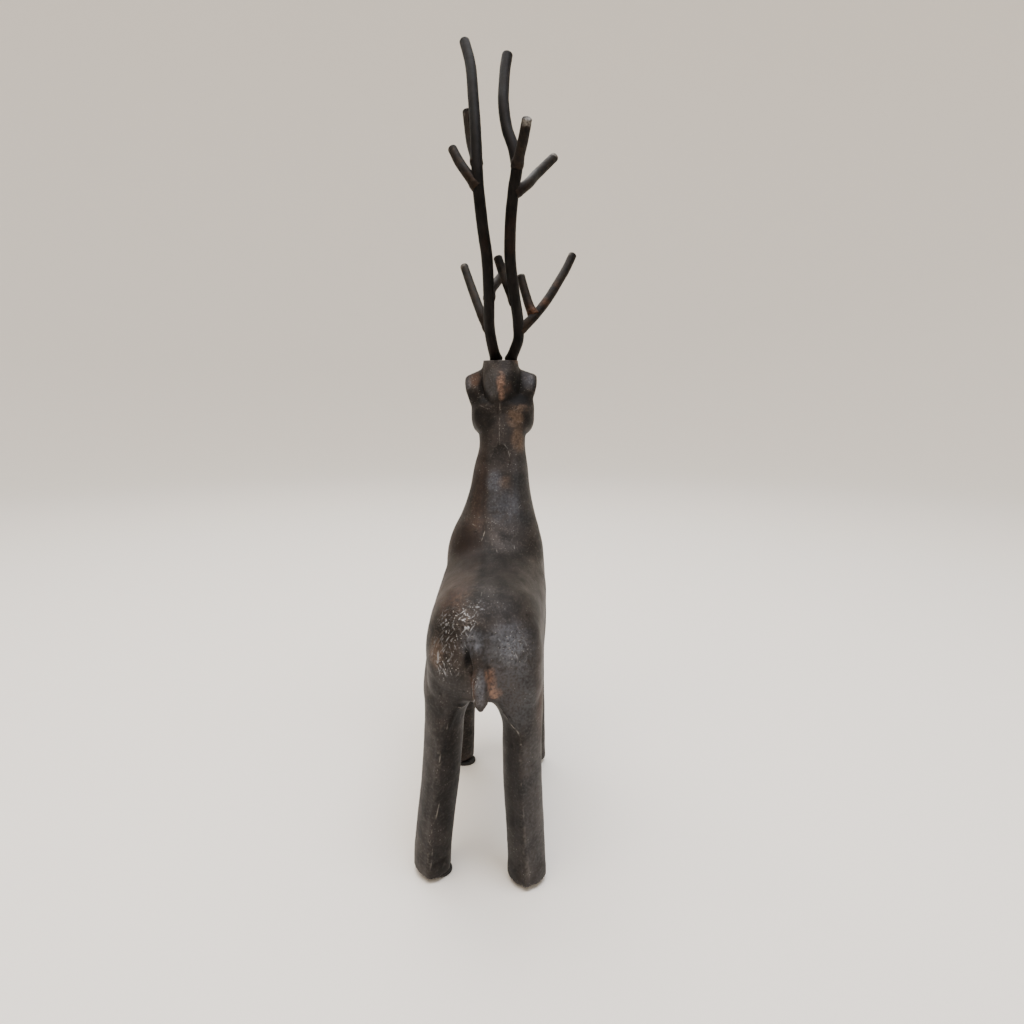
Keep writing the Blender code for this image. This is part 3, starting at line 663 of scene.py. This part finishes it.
def paintedInnerShade(points):
    # Painted shade on the inner face of each hind leg, which starts at the arris down the leg's back: how
    # dark it is; 0 elsewhere
    dark, face = np.zeros(len(points)), carving["innerShade"]
    for leg, outward in (("hindLeft", 1.0), ("hindRight", -1.0)):
        rows = smoothRows(legRows(leg), 40)
        order = np.argsort(rows[:, 0])
        inward = outward * (np.interp(points[:, 2], rows[order, 0], rows[order, 1]) - points[:, 0])
        onLeg = (inward < face["width"]) & (points[:, 1] > face["front"])
        dark = np.maximum(dark, onLeg * fade(inward, *face["edge"]) * fade(points[:, 2], *face["top"]))
    return face["dark"] * dark


# Patina: size and weight of its clouds, size of its fine noise, and how softly a blotch ends. Share and range
# of the wear on raised places, with the fine noise that it needs, and of the dark in hollows. The heights at
# the soles and at the head's flat top where wear ends
tarnish = {
    "cloud": (7, 0.6), "fine": 1.8, "soft": 0.9, "wear": (0.2, 0.03, 0.1), "worn": (0, 0.6),
    "hollow": (0.65, -0.012, -0.06), "soles": (2, -0.2), "top": (172, 175),
}


def patina(points, hips, convex):
    # What the material reads at every point, each from 0 to 1
    cloudSize, cloudWeight = tarnish["cloud"]
    cloud = cloudNoise(points, cloudSize, 61, 4)
    fine = cloudNoise(points, tarnish["fine"], 71, 3)
    looks = {"hips": hips}
    for name, (edge, *spots) in patches.items():
        looks[name] = cover(points, spots) * fade(cloudWeight * cloud + fine, edge, edge + tarnish["soft"])
    # painted shade also lies over the inner faces of the hind legs
    looks["paintedShade"] = np.maximum(looks["paintedShade"], paintedInnerShade(points))
    (worn, *wornAt), (dark, *darkAt) = tarnish["wear"], tarnish["hollow"]
    looks["wear"] = worn * fade(convex, *wornAt) * fade(fine, *tarnish["worn"])
    looks["hollow"] = dark * fade(convex, *darkAt)
    return looks


def buildCasting(material):
    points, quads = meltedSkin()
    print("casting skin of", len(points), "points")
    points[:, 1] += dressNeck(points)
    for spot in carving["blends"]:
        points = relax(points, quads, carving["blendWeight"] * patch(points, spot), spot[6])
    normals = quadNormals(points, quads)
    points += carvedForms(points)[:, None] * normals
    weight, rounds = carving["settle"]
    smooth = relax(points, quads, np.full(len(points), weight), rounds)
    normals = quadNormals(smooth, quads)
    height, hips = skinTexture(points)
    low, high = ((np.array(corner) - deerOrigin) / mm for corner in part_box("cast_body"))
    points = np.clip(points + height[:, None] * normals, low, high)
    convex = np.einsum("ij,ij->i", points - neighbourMiddle(points, quads), normals)
    looks = patina(points, hips, convex)
    looks["nickAndHighlight"], looks["aside"] = scratchesAndHighlights(points, normals)
    size, *breakAt = nicksAndHighlights["breaks"]
    looks["nickAndHighlight"] *= fade(cloudNoise(points, size, 85, 2), *breakAt)
    height = points[:, 2]
    looks["wear"] *= 1 - np.maximum(fade(height, *tarnish["soles"]), fade(height, *tarnish["top"]))
    makePiece("castBody", points, quads.tolist(), material, "cast_body", looks)
    print("casting dressed")


# Rods: the middle of the head's top, then each rod's bends from there
rods = {
    "foot": (0.2, -113.6, 175.2),
    "beam": {"diameter": 4.8, "tip": 4.4, "steps": 300, "sides": 32},
    "tine": {"diameter": 4.2, "tip": 3.8, "steps": 120, "sides": 28},
    "left": {
        "beam": [
            (1.6, -0.6, -4), (2, 0, 0), (3, 3, 4.2), (4.1, 7.4, 10.8), (3.7, 19.6, 25.4), (3.8, 27.6, 39.4),
            (5.1, 31.6, 50.5), (6.6, 33.6, 65.3), (7.6, 29.6, 81.7), (9.2, 21.6, 99.2), (11.8, 9.6, 118.9),
            (14.6, 2.2, 129.3),
        ],
        # the height on the beam where each side rod starts, then its own bends
        "tines": {
            "brow": (12.2, [(6.8, 6.6, 16.6), (9.9, 0.6, 23.5), (13.5, -7.4, 32.1), (17.7, -16.6, 42.6)]),
            "inner": (24.4, [(3, 13.6, 28.6), (1.1, 6.6, 32.6), (-2, 1.6, 37.6), (-4, -1.4, 41.8)]),
            "rear": (73.6, [(8.5, 27, 78.2), (10.2, 22.6, 84.2), (12.3, 17, 97.6)]),
            "outer": (64.4, [(10.2, 32.6, 69), (14, 28.6, 74.6), (17.7, 24, 81.6)]),
        },
    },
    "right": {
        "beam": [
            (-2.6, -1, -4), (-4.4, 0, 0), (-6.2, 2.8, 4), (-7.9, 5.4, 8.2), (-8.1, 9.4, 14.6),
            (-6.9, 19.6, 25.4), (-5.5, 27.6, 39.4), (-6, 31.6, 53.4), (-7.4, 33.6, 65.1),
            (-8.3, 33.4, 71.3), (-7.4, 31.6, 77.6), (-4.1, 26.6, 88.2), (-2.6, 21.6, 99), (-2.5, 16.6, 107),
            (-3.1, 9.6, 118.7), (-3.5, 7.8, 121.8),
        ],
        "tines": {
            "brow": (12.2, [(-13, 5.6, 16.4), (-16.8, 1.6, 20.9), (-21.1, -4.4, 27.2), (-25.1, -10.4, 34.2),
                            (-28.7, -16.4, 40.8), (-31.9, -21.4, 48)]),
            "inner": (22.4, [(-4.4, 15.6, 28.8), (-1.4, 11.8, 36.2), (0.7, 9.8, 42.4)]),
            "front": (71.7, [(-10, 39.6, 75.7), (-11.4, 44.6, 79.3), (-12.7, 49.6, 84.2)]),
            "outer": (62.2, [(-10.2, 31.6, 64.4), (-16.1, 20.6, 72.6), (-22.9, 9.8, 81.7)]),
        },
    },
    "fork": (18.6, [(-13.4, 2.4, 21.3), (-10.8, -1.6, 28.7), (-8.5, -5.6, 36.8)]),
    # weld where a rod starts: how far it spreads, how thick and how lumpy it is, how far past it the rod is
    # brown and how much, and the one that is orange
    "weld": {"spread": 1.5, "thick": 0.5, "lumps": (1.9, 0.45), "browned": 2, "brown": 0.08,
             "orange": 0.8, "orangeOne": "rightBrowFork", "beamFrom": 0.6, "tineFrom": 2.3},
    # brown places along the rods: middle from the foot, reach, strength
    "rusty": [(-18.6, -1.4, 23.6, 3.2, 4, 3.6, 0.55), (-24, -9, 32, 2, 3, 3, 0.3),
              (-6, 31, 48, 3, 5, 8, 0.16), (4.4, 30, 46, 2, 5, 6, 0.08), (4, 4, 7, 4, 5, 5, 0.1)],
    # size of the noise that breaks up the rods' looks, its range for those places, side rods' scorch and the
    # noise's range for it, and the most of the bare steel, its range and how it answers to the tip
    "blotch": 2.2, "rustyAt": (-0.7, 0.3), "scorch": (0.6, -0.6, 0.5),
    "steel": {"most": 0.5, "at": (-0.2, 0.35), "tip": 1.6, "least": 1.5},
    # cut tip: length and depth of its worn bevel, shares of the radius and rises of its cap, length left bare
    "bevel": (0.55, 0.28), "cap": ((0.72, 0.02), (0.4, 0.06), (0.08, 0.08)), "bare": 9,
    # size and height of the bar's dents and of its scale, and how far it stays under the solid's skin
    "dents": ((5, 0.10), (1.3, 0.05)), "sunk": 0.02,
}


def rodSurface(route, size, weldFrom, seed):
    # A round profile carried along the route: its radius narrows to the tip, swells at the weld and ends
    # in a small bevel and a flat cut
    middle = smoothRows(route, size["steps"])
    run = np.concatenate([[0.0], np.cumsum(np.linalg.norm(np.diff(middle, axis=0), axis=1))])
    tangent = unit(np.gradient(middle, run, axis=0))
    side = unit(np.cross(tangent, [0.0, 1.0, 0.0]))
    up = np.cross(side, tangent)
    angle = roundAngles(size["sides"])[None, :, None]
    circle = side[:, None, :] * np.cos(angle) + up[:, None, :] * np.sin(angle)
    radius = (size["diameter"] + (size["tip"] - size["diameter"]) * run / run[-1]) / 2
    weld, past = rods["weld"], np.maximum(run - weldFrom, 0.0)
    swell = weld["thick"] * np.exp(-past / weld["spread"])
    plain = (middle[:, None, :] + radius[:, None, None] * circle).reshape(-1, 3)
    shape = (size["steps"], size["sides"])
    lumpSize, lumpy = weld["lumps"]
    lumps = 1 + lumpy * cloudNoise(plain, lumpSize, seed).reshape(shape)
    dent = sum(tall * cloudNoise(plain, dentSize, seed + k).reshape(shape)
               for k, (dentSize, tall) in enumerate(rods["dents"]))
    bevel, deep = rods["bevel"]
    cut = 1 - deep * (1 - np.clip((run[-1] - run) / bevel, 0, 1)) ** 2
    reach = (radius[:, None] + dent - rods["sunk"] + swell[:, None] * lumps) * cut[:, None]
    surface = middle[:, None, :] + reach[..., None] * circle
    tip = np.clip((run - run[-1] + rods["bare"]) / rods["bare"], 0.0, 1.0)[:, None] + 0 * dent
    brown = np.exp(-past / weld["browned"])[:, None] + 0 * dent
    shares, rises = np.array(rods["cap"]).T[..., None, None]
    cap = middle[-1] + (surface[-1] - middle[-1]) * shares + tangent[-1] * rises
    more = np.ones((len(cap), size["sides"]))
    return (np.concatenate([surface, cap]), np.concatenate([tip, more]).ravel(),
            np.concatenate([brown, 0 * more]).ravel())


def buildRod(name, node, route, size, weldFrom, seed, material):
    foot, weld = np.array(rods["foot"]), rods["weld"]
    grid, tip, brown = rodSurface(foot + np.array(route), size, weldFrom, seed)
    points = grid.reshape(-1, 3)
    noise = cloudNoise(points, rods["blotch"], seed + 7)
    places = cover(points - foot, rods["rusty"]) * fade(noise, *rods["rustyAt"])
    weldBrown = weld["orange"] if name == weld["orangeOne"] else weld["brown"]
    (scorched, *scorchAt), steel = rods["scorch"], rods["steel"]
    looks = {
        # bare steel shows all over the cut end and in fewer and fewer patches down from it
        "tip": steel["most"] * fade(noise + steel["tip"] * tip - steel["least"], *steel["at"]),
        "weld": np.maximum(weldBrown * brown, places),
        "scorch": (0.0 if name.endswith("Beam") else scorched) * fade(noise, *scorchAt),
    }
    makePiece(name, points, tubeFaces(*grid.shape[:2]), material, node, looks)


def sideRoute(carrier, height, own):
    # A side rod starts at the point of its carrier's middle line at that height
    line = smoothRows(carrier, 400)
    return [tuple(line[np.argmin(np.abs(line[:, 2] - height))]), *own]


def buildAntlers(material):
    beam, tine, weld = rods["beam"], rods["tine"], rods["weld"]
    for seed, side in enumerate(("left", "right")):
        bends = rods[side]["beam"]
        buildRod(side + "Beam", side + "_antler_beam", bends[1:], beam, weld["beamFrom"], 100 + seed,
                 material)
        for k, (name, start) in enumerate(rods[side]["tines"].items()):
            buildRod(side + name.title() + "Tine", f"{side}_{name}_tine", sideRoute(bends, *start), tine,
                     weld["tineFrom"], 200 + 20 * seed + k, material)
    brow = sideRoute(rods["right"]["beam"], *rods["right"]["tines"]["brow"])
    buildRod("rightBrowFork", "right_brow_fork", sideRoute(brow, *rods["fork"]), tine, weld["tineFrom"], 300,
             material)
    print("antlers bent")


# Pads: a turned profile of height and radius shares
pads = {
    "pieces": {"leftHindPad": "left_hind_pad", "rightHindPad": "right_hind_pad",
               "leftFrontPad": "left_front_pad", "rightFrontPad": "right_front_pad"},
    "sides": 72,
    "rise": (0, 0, 0, 0.06, 0.3, 0.6, 0.9, 1, 1, 1),
    "reach": (0.05, 0.6, 0.93, 0.975, 1, 1, 0.975, 0.93, 0.6, 0.05),
}


def buildPads(material):
    # A flat disc whose wall bulges a little: its profile turned round the pad's middle
    for name, node in pads["pieces"].items():
        low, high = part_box(node)
        radius = (high[0] - low[0]) / 2 / mm
        thick = (high[2] - low[2]) / mm
        x, y, z = (middleOf(node) - deerOrigin) / mm
        rise = np.array(pads["rise"]) * thick + z - thick / 2
        grid = np.array([x, y, 0.0]) + turned(np.array(pads["reach"]) * radius, rise, pads["sides"])
        makePiece(name, grid.reshape(-1, 3), tubeFaces(*grid.shape[:2]), material, node)
    print("pads placed")


def feed(tree, node, inputs):
    # Gives each named input its value, or the socket that feeds it
    for name, value in inputs.items():
        if isinstance(value, bpy.types.NodeSocket):
            tree.links.new(value, node.inputs[name])
        else:
            node.inputs[name].default_value = value


def addNode(tree, kind, out, inputs=None, **settings):
    # One node with its settings and its inputs. Gives its named output
    node = tree.nodes.new(kind)
    for name, value in settings.items():
        setattr(node, name, value)
    feed(tree, node, inputs or {})
    return node.outputs[out]


def newMaterial(name):
    material = bpy.data.materials.new(name)
    material.use_nodes = True
    tree = material.node_tree
    return material, tree, tree.nodes["Principled BSDF"], addNode(tree, "ShaderNodeTexCoord", "Object")


def perMetre(sizeMm):
    # Pattern scale that gives features of that size
    return 1.0 / (sizeMm * mm)


def shaded(tree, colour, shades):
    # Tints laid over a colour: what drives each, where it starts and where it is full, how much it covers
    for value, start, full, most, tint in shades:
        share = addNode(tree, "ShaderNodeMapRange", "Result", {
            "Value": value, "From Min": start, "From Max": full, "To Max": most})
        colour = addNode(tree, "ShaderNodeMix", 2, {0: share, 6: colour, 7: linearColour(tint)},
                         data_type="RGBA")
    return colour


# Sand-cast iron under a dark oxide: a metal, so almost no light comes back out of its dark skin but what it
# mirrors,
#  broken up by the sand; dusted with light grains, a painted bluish grey sheen where it is smoother, bare on
#  its hammered grains with painted glints on them and painted shade between them, painted shade in its
#  recesses, brown to dull orange where thin rust has come through
castIron = {
    # a pair is where a look starts in its noise and where it is full
    "dark": "#211e1c", "light": "#38322f", "mottle": 6, "tones": (0.34, 0.68), "along": 0.45,
    # metallic value of bare casting and of rust; roughness where the blotches are dark and light
    "metallic": (0.8, 0.3), "roughAt": (0.3, 0.7), "rough": (0.64, 0.52),
    # attribute, colour, and the grain at which the layer starts and is full
    "layers": [("brown", "#422e24", 0.25, 0.5), ("dust", "#444446", 0.1, 0.6),
               # the bluish grey layer is a painted sheen
               ("paintedSheen", "#5f6168", 0.2, 0.55), ("tan", "#8b725f", 0.1, 0.75),
               ("hollow", "#0c0a09", 0.2, 0.4), ("rust", "#98735e", 0.2, 0.6),
               # the near black layer after the rust is painted shade
               ("paintedShade", "#070606", 0.2, 0.4), ("wear", "#8b857d", 0.35, 0.6)],
    # roughness under the painted bluish sheen, which is smoother there, and on the hammered hips
    "sheen": {"paintedSheen": 0.48, "hips": 0.40},
    "grain": {"size": 0.8, "depth": 0.055, "dust": "#544d48", "at": (0.52, 0.74), "most": 0.5},
    # file marks
    "hatch": {"width": 0.5, "length": 4, "lean": -38, "depth": 0.03},
    # hammer strokes that lean both ways: width, length, leans from upright, depth, colours of crest and gap,
    #  and the blotches that they cluster in. The crest is bare metal lightened into painted glints, the gap
    #  painted shade
    "strokes": {"width": 0.85, "length": 4, "leans": (27, -36), "depth": 0.32, "bare": "#878789",
                "bareGlintAt": (0.61, 0.75), "gap": "#100e0e", "gapShadeAt": (0.46, 0.33), "cluster": (0.34, 0.48)},
    # small round spots, kept to this share where the blotches are light
    "speck": {"size": 1.2, "reach": (0.21, 0.084), "colour": "#96928e", "kept": (0.46, 0.64), "share": 0.38},
    # a line, scratched bare or a painted highlight, is drawn up to this far from its middle
    "nickAndHighlight": {"colour": "#8d8780", "aside": (0.26, 0.08)},
}


def drawnOut(tree, place, look, lean):
    # A noise stretched along one leaning direction: the place is turned upright, then measured in the
    # pattern's own width and length
    across, along = look["width"] * mm, look["length"] * mm
    leaning = addNode(tree, "ShaderNodeMapping", "Vector", {
        "Vector": place, "Rotation": (0.0, math.radians(lean), 0.0), "Scale": (across, across, along)},
        vector_type="TEXTURE")
    return addNode(tree, "ShaderNodeTexNoise", "Fac", {"Vector": leaning, "Scale": 1.0, "Detail": 1.0})


def ironMaterial():
    look = castIron
    material, tree, shader, place = newMaterial("sandCastIron")
    looks = {name: addNode(tree, "ShaderNodeAttribute", "Fac", attribute_name=name)
             for name in ("hips", "nickAndHighlight", "aside", *(layer[0] for layer in look["layers"]))}
    # Blotches and grain run longer along the body than across it
    longer = addNode(tree, "ShaderNodeMapping", "Vector", {
        "Vector": place, "Scale": (1.0, look["along"], 1.0)})
    mottle = addNode(tree, "ShaderNodeTexNoise", "Fac", {
        "Vector": longer, "Scale": perMetre(look["mottle"]), "Detail": 4.0})
    dusty = look["grain"]
    grain = addNode(tree, "ShaderNodeTexNoise", "Fac", {
        "Vector": longer, "Scale": perMetre(dusty["size"]), "Detail": 2.0})
    # Hammer strokes in clusters: painted shade between them, and bare metal lightened into painted glints on
    # their crests
    strokes, hips = look["strokes"], looks["hips"]
    first, second = (drawnOut(tree, place, strokes, lean) for lean in strokes["leans"])
    drawn = addNode(tree, "ShaderNodeMath", 0, {0: first, 1: second}, operation="MAXIMUM")
    start, full = strokes["cluster"]
    cluster = addNode(tree, "ShaderNodeMapRange", "Result", {
        "Value": mottle, "From Min": start, "From Max": full, "To Max": hips})
    # Light specks: all over the hips, where they are painted glints, and bare specks where the blotches are
    # light
    speck = look["speck"]
    spots = addNode(tree, "ShaderNodeTexVoronoi", "Distance", {
        "Vector": place, "Scale": perMetre(speck["size"])})
    start, full = speck["kept"]
    kept = addNode(tree, "ShaderNodeMapRange", "Result", {
        "Value": mottle, "From Min": start, "From Max": full, "To Max": speck["share"]})
    kept = addNode(tree, "ShaderNodeMath", 0, {0: kept, 1: hips}, operation="MAXIMUM")
    # Nicks and painted highlights: a thin line where the way to its side is nearly nothing
    away = addNode(tree, "ShaderNodeMath", 0, {0: looks["aside"]}, operation="ABSOLUTE")
    colour = shaded(tree, linearColour(look["dark"]), [
        (mottle, *look["tones"], 1.0, look["light"]), (grain, *dusty["at"], dusty["most"], dusty["dust"]),
        *((grain, start, full, looks[name], tint) for name, tint, start, full in look["layers"]),
        # painted shade between the hammer strokes, and painted glints on their crests
        (drawn, *strokes["gapShadeAt"], hips, strokes["gap"]),
        (drawn, *strokes["bareGlintAt"], cluster, strokes["bare"]),
        (spots, *speck["reach"], kept, speck["colour"]),
        (away, *look["nickAndHighlight"]["aside"], looks["nickAndHighlight"], look["nickAndHighlight"]["colour"]),
    ])
    (start, full), (dull, smooth) = look["roughAt"], look["rough"]
    rough = addNode(tree, "ShaderNodeMapRange", "Result", {
        "Value": mottle, "From Min": start, "From Max": full, "To Min": dull, "To Max": smooth})
    for name, rubbed in look["sheen"].items():
        rough = addNode(tree, "ShaderNodeMix", 0, {0: looks[name], 2: rough, 3: rubbed})
    bare, rusty = look["metallic"]
    metal = addNode(tree, "ShaderNodeMapRange", "Result", {
        "Value": looks["rust"], "To Min": bare, "To Max": rusty})
    # Relief: sand grain and file marks all over, and the strokes only on the hips
    hatch, under = look["hatch"], {}
    for relief in ({"Height": grain, "Distance": dusty["depth"] * mm},
                   {"Height": drawnOut(tree, place, hatch, hatch["lean"]), "Distance": hatch["depth"] * mm},
                   {"Height": drawn, "Distance": strokes["depth"] * mm, "Strength": hips}):
        under = {"Normal": addNode(tree, "ShaderNodeBump", "Normal", {**relief, **under})}
    feed(tree, shader, {"Base Color": colour, "Roughness": rough, "Metallic": metal, **under})
    return material


# Blackened mild steel rod: mill scale, almost black and faintly glossy, brown where the heat of the welds has
# been, and bare silvery steel on the ends where the saw and the file have been
blackSteel = {
    "dark": "#100f0e", "light": "#1e1b1a", "mottle": 6, "tones": (0.34, 0.68),
    "metallic": 0.94, "roughAt": (0.3, 0.7), "rough": (0.56, 0.70),
    "layers": [("scorch", "#332a22"), ("weld", "#4a3122"), ("tip", "#8f8a83")],
    "grain": {"size": 0.6, "depth": 0.05, "at": (0.2, 0.55)},
}


def steelMaterial():
    look = blackSteel
    material, tree, shader, place = newMaterial("blackenedSteelRod")
    mottle = addNode(tree, "ShaderNodeTexNoise", "Fac", {
        "Vector": place, "Scale": perMetre(look["mottle"]), "Detail": 4.0})
    scale = look["grain"]
    grain = addNode(tree, "ShaderNodeTexNoise", "Fac", {
        "Vector": place, "Scale": perMetre(scale["size"]), "Detail": 1.0})
    colour = shaded(tree, linearColour(look["dark"]), [
        (mottle, *look["tones"], 1.0, look["light"]),
        *((grain, *scale["at"], addNode(tree, "ShaderNodeAttribute", "Fac", attribute_name=name), tint)
          for name, tint in look["layers"]),
    ])
    (start, full), (low, high) = look["roughAt"], look["rough"]
    rough = addNode(tree, "ShaderNodeMapRange", "Result", {
        "Value": mottle, "From Min": start, "From Max": full, "To Min": low, "To Max": high})
    normal = addNode(tree, "ShaderNodeBump", "Normal", {"Height": grain, "Distance": scale["depth"] * mm})
    feed(tree, shader, {
        "Base Color": colour, "Roughness": rough, "Metallic": look["metallic"], "Normal": normal})
    return material


# Black rubber: matt, with a faint dusty bloom
blackRubber = {"dark": "#0d0d0d", "light": "#1d1c1b", "bloom": 1.5, "rough": 0.75}


def rubberMaterial():
    look = blackRubber
    material, tree, shader, place = newMaterial("blackRubber")
    bloom = addNode(tree, "ShaderNodeTexNoise", "Fac", {
        "Vector": place, "Scale": perMetre(look["bloom"]), "Detail": 4})
    colour = addNode(tree, "ShaderNodeMix", 2, {
        0: bloom, 6: linearColour(look["dark"]), 7: linearColour(look["light"])}, data_type="RGBA")
    feed(tree, shader, {"Base Color": colour, "Roughness": look["rough"]})
    return material


# Studio: a pale floor that sweeps up into a pale wall all round, a cool soft light behind the right of the
# camera, a warm one behind its left, a dim one over the front, and the photograph's viewpoint
studio = {
    "paint": "#f5efe7", "paintRough": 0.7, "air": "#e9e7e3", "airStrength": 1.27,
    "flat": 1100, "sweep": 1100, "wall": 2300, "sides": 96,
    # direction, rise in degrees, distance, width, power in watts, colour
    "lights": [((-0.80, 0.60), 74, 900, 420, 7.2, "#e4ebf8"),
               ((0.60, 0.80), 70, 900, 480, 4.4, "#fff2e2"),
               ((0.3, -0.95), 58, 1000, 600, 6, "#ffffff")],
    "aim": (0, -60, 110),
}
view = {"eye": (-20.8, 232.6, 164.9), "turn": 182.65, "pitch": 9.5, "lens": 27}


def buildSweep(paint):
    # A profile of distance and height, flat, then a quarter circle, then upright, turned round the object
    turn = np.linspace(0.0, math.pi / 2, 24)
    flat, sweep, wall = studio["flat"], studio["sweep"], studio["wall"]
    reach = np.concatenate([[1.0, flat * 0.5], flat + sweep * np.sin(turn), [flat + sweep]])
    rise = np.concatenate([[0.0, 0.0], sweep * (1 - np.cos(turn)), [wall]])
    grid = turned(reach, rise, studio["sides"]) * mm
    mesh = bpy.data.meshes.new("floor")
    mesh.from_pydata(grid.reshape(-1, 3).tolist(), [], tubeFaces(*grid.shape[:2])[:-1])
    mesh.shade_smooth()
    mesh.materials.append(paint)
    floor = bpy.data.objects.new("floor", mesh)
    bpy.context.scene.collection.objects.link(floor)


def buildStudio():
    scene = bpy.context.scene
    paint = bpy.data.materials.new("palePaint")
    paint.use_nodes = True
    tree = paint.node_tree
    feed(tree, tree.nodes["Principled BSDF"], {
        "Base Color": linearColour(studio["paint"]), "Roughness": studio["paintRough"]})
    buildSweep(paint)
    scene.world = bpy.data.worlds.new("studioAir")
    scene.world.use_nodes = True
    tree = scene.world.node_tree
    feed(tree, tree.nodes["Background"], {
        "Color": linearColour(studio["air"]), "Strength": studio["airStrength"]})
    for (east, north), rise, distance, width, power, colour in studio["lights"]:
        rise = math.radians(rise)
        way = Vector((east * math.cos(rise), north * math.cos(rise), math.sin(rise))).normalized()
        lamp = bpy.data.lights.new("softbox", "AREA")
        lamp.size = width * mm
        lamp.energy = power
        lamp.color = linearColour(colour)[:3]
        light = bpy.data.objects.new("softbox", lamp)
        light.location = Vector(toScene(studio["aim"])) + way * distance * mm
        light.rotation_euler = way.to_track_quat("Z", "Y").to_euler()
        scene.collection.objects.link(light)
    lens = bpy.data.cameras.new("camera")
    lens.lens = view["lens"]
    lens.clip_start = 0.01
    camera = bpy.data.objects.new("camera", lens)
    camera.location = toScene(view["eye"])
    camera.rotation_euler = (math.radians(90.0 - view["pitch"]), 0.0, math.radians(view["turn"]))
    scene.collection.objects.link(camera)
    scene.camera = camera
    print("studio lit")


buildCasting(ironMaterial())
buildAntlers(steelMaterial())
buildPads(rubberMaterial())
buildStudio()
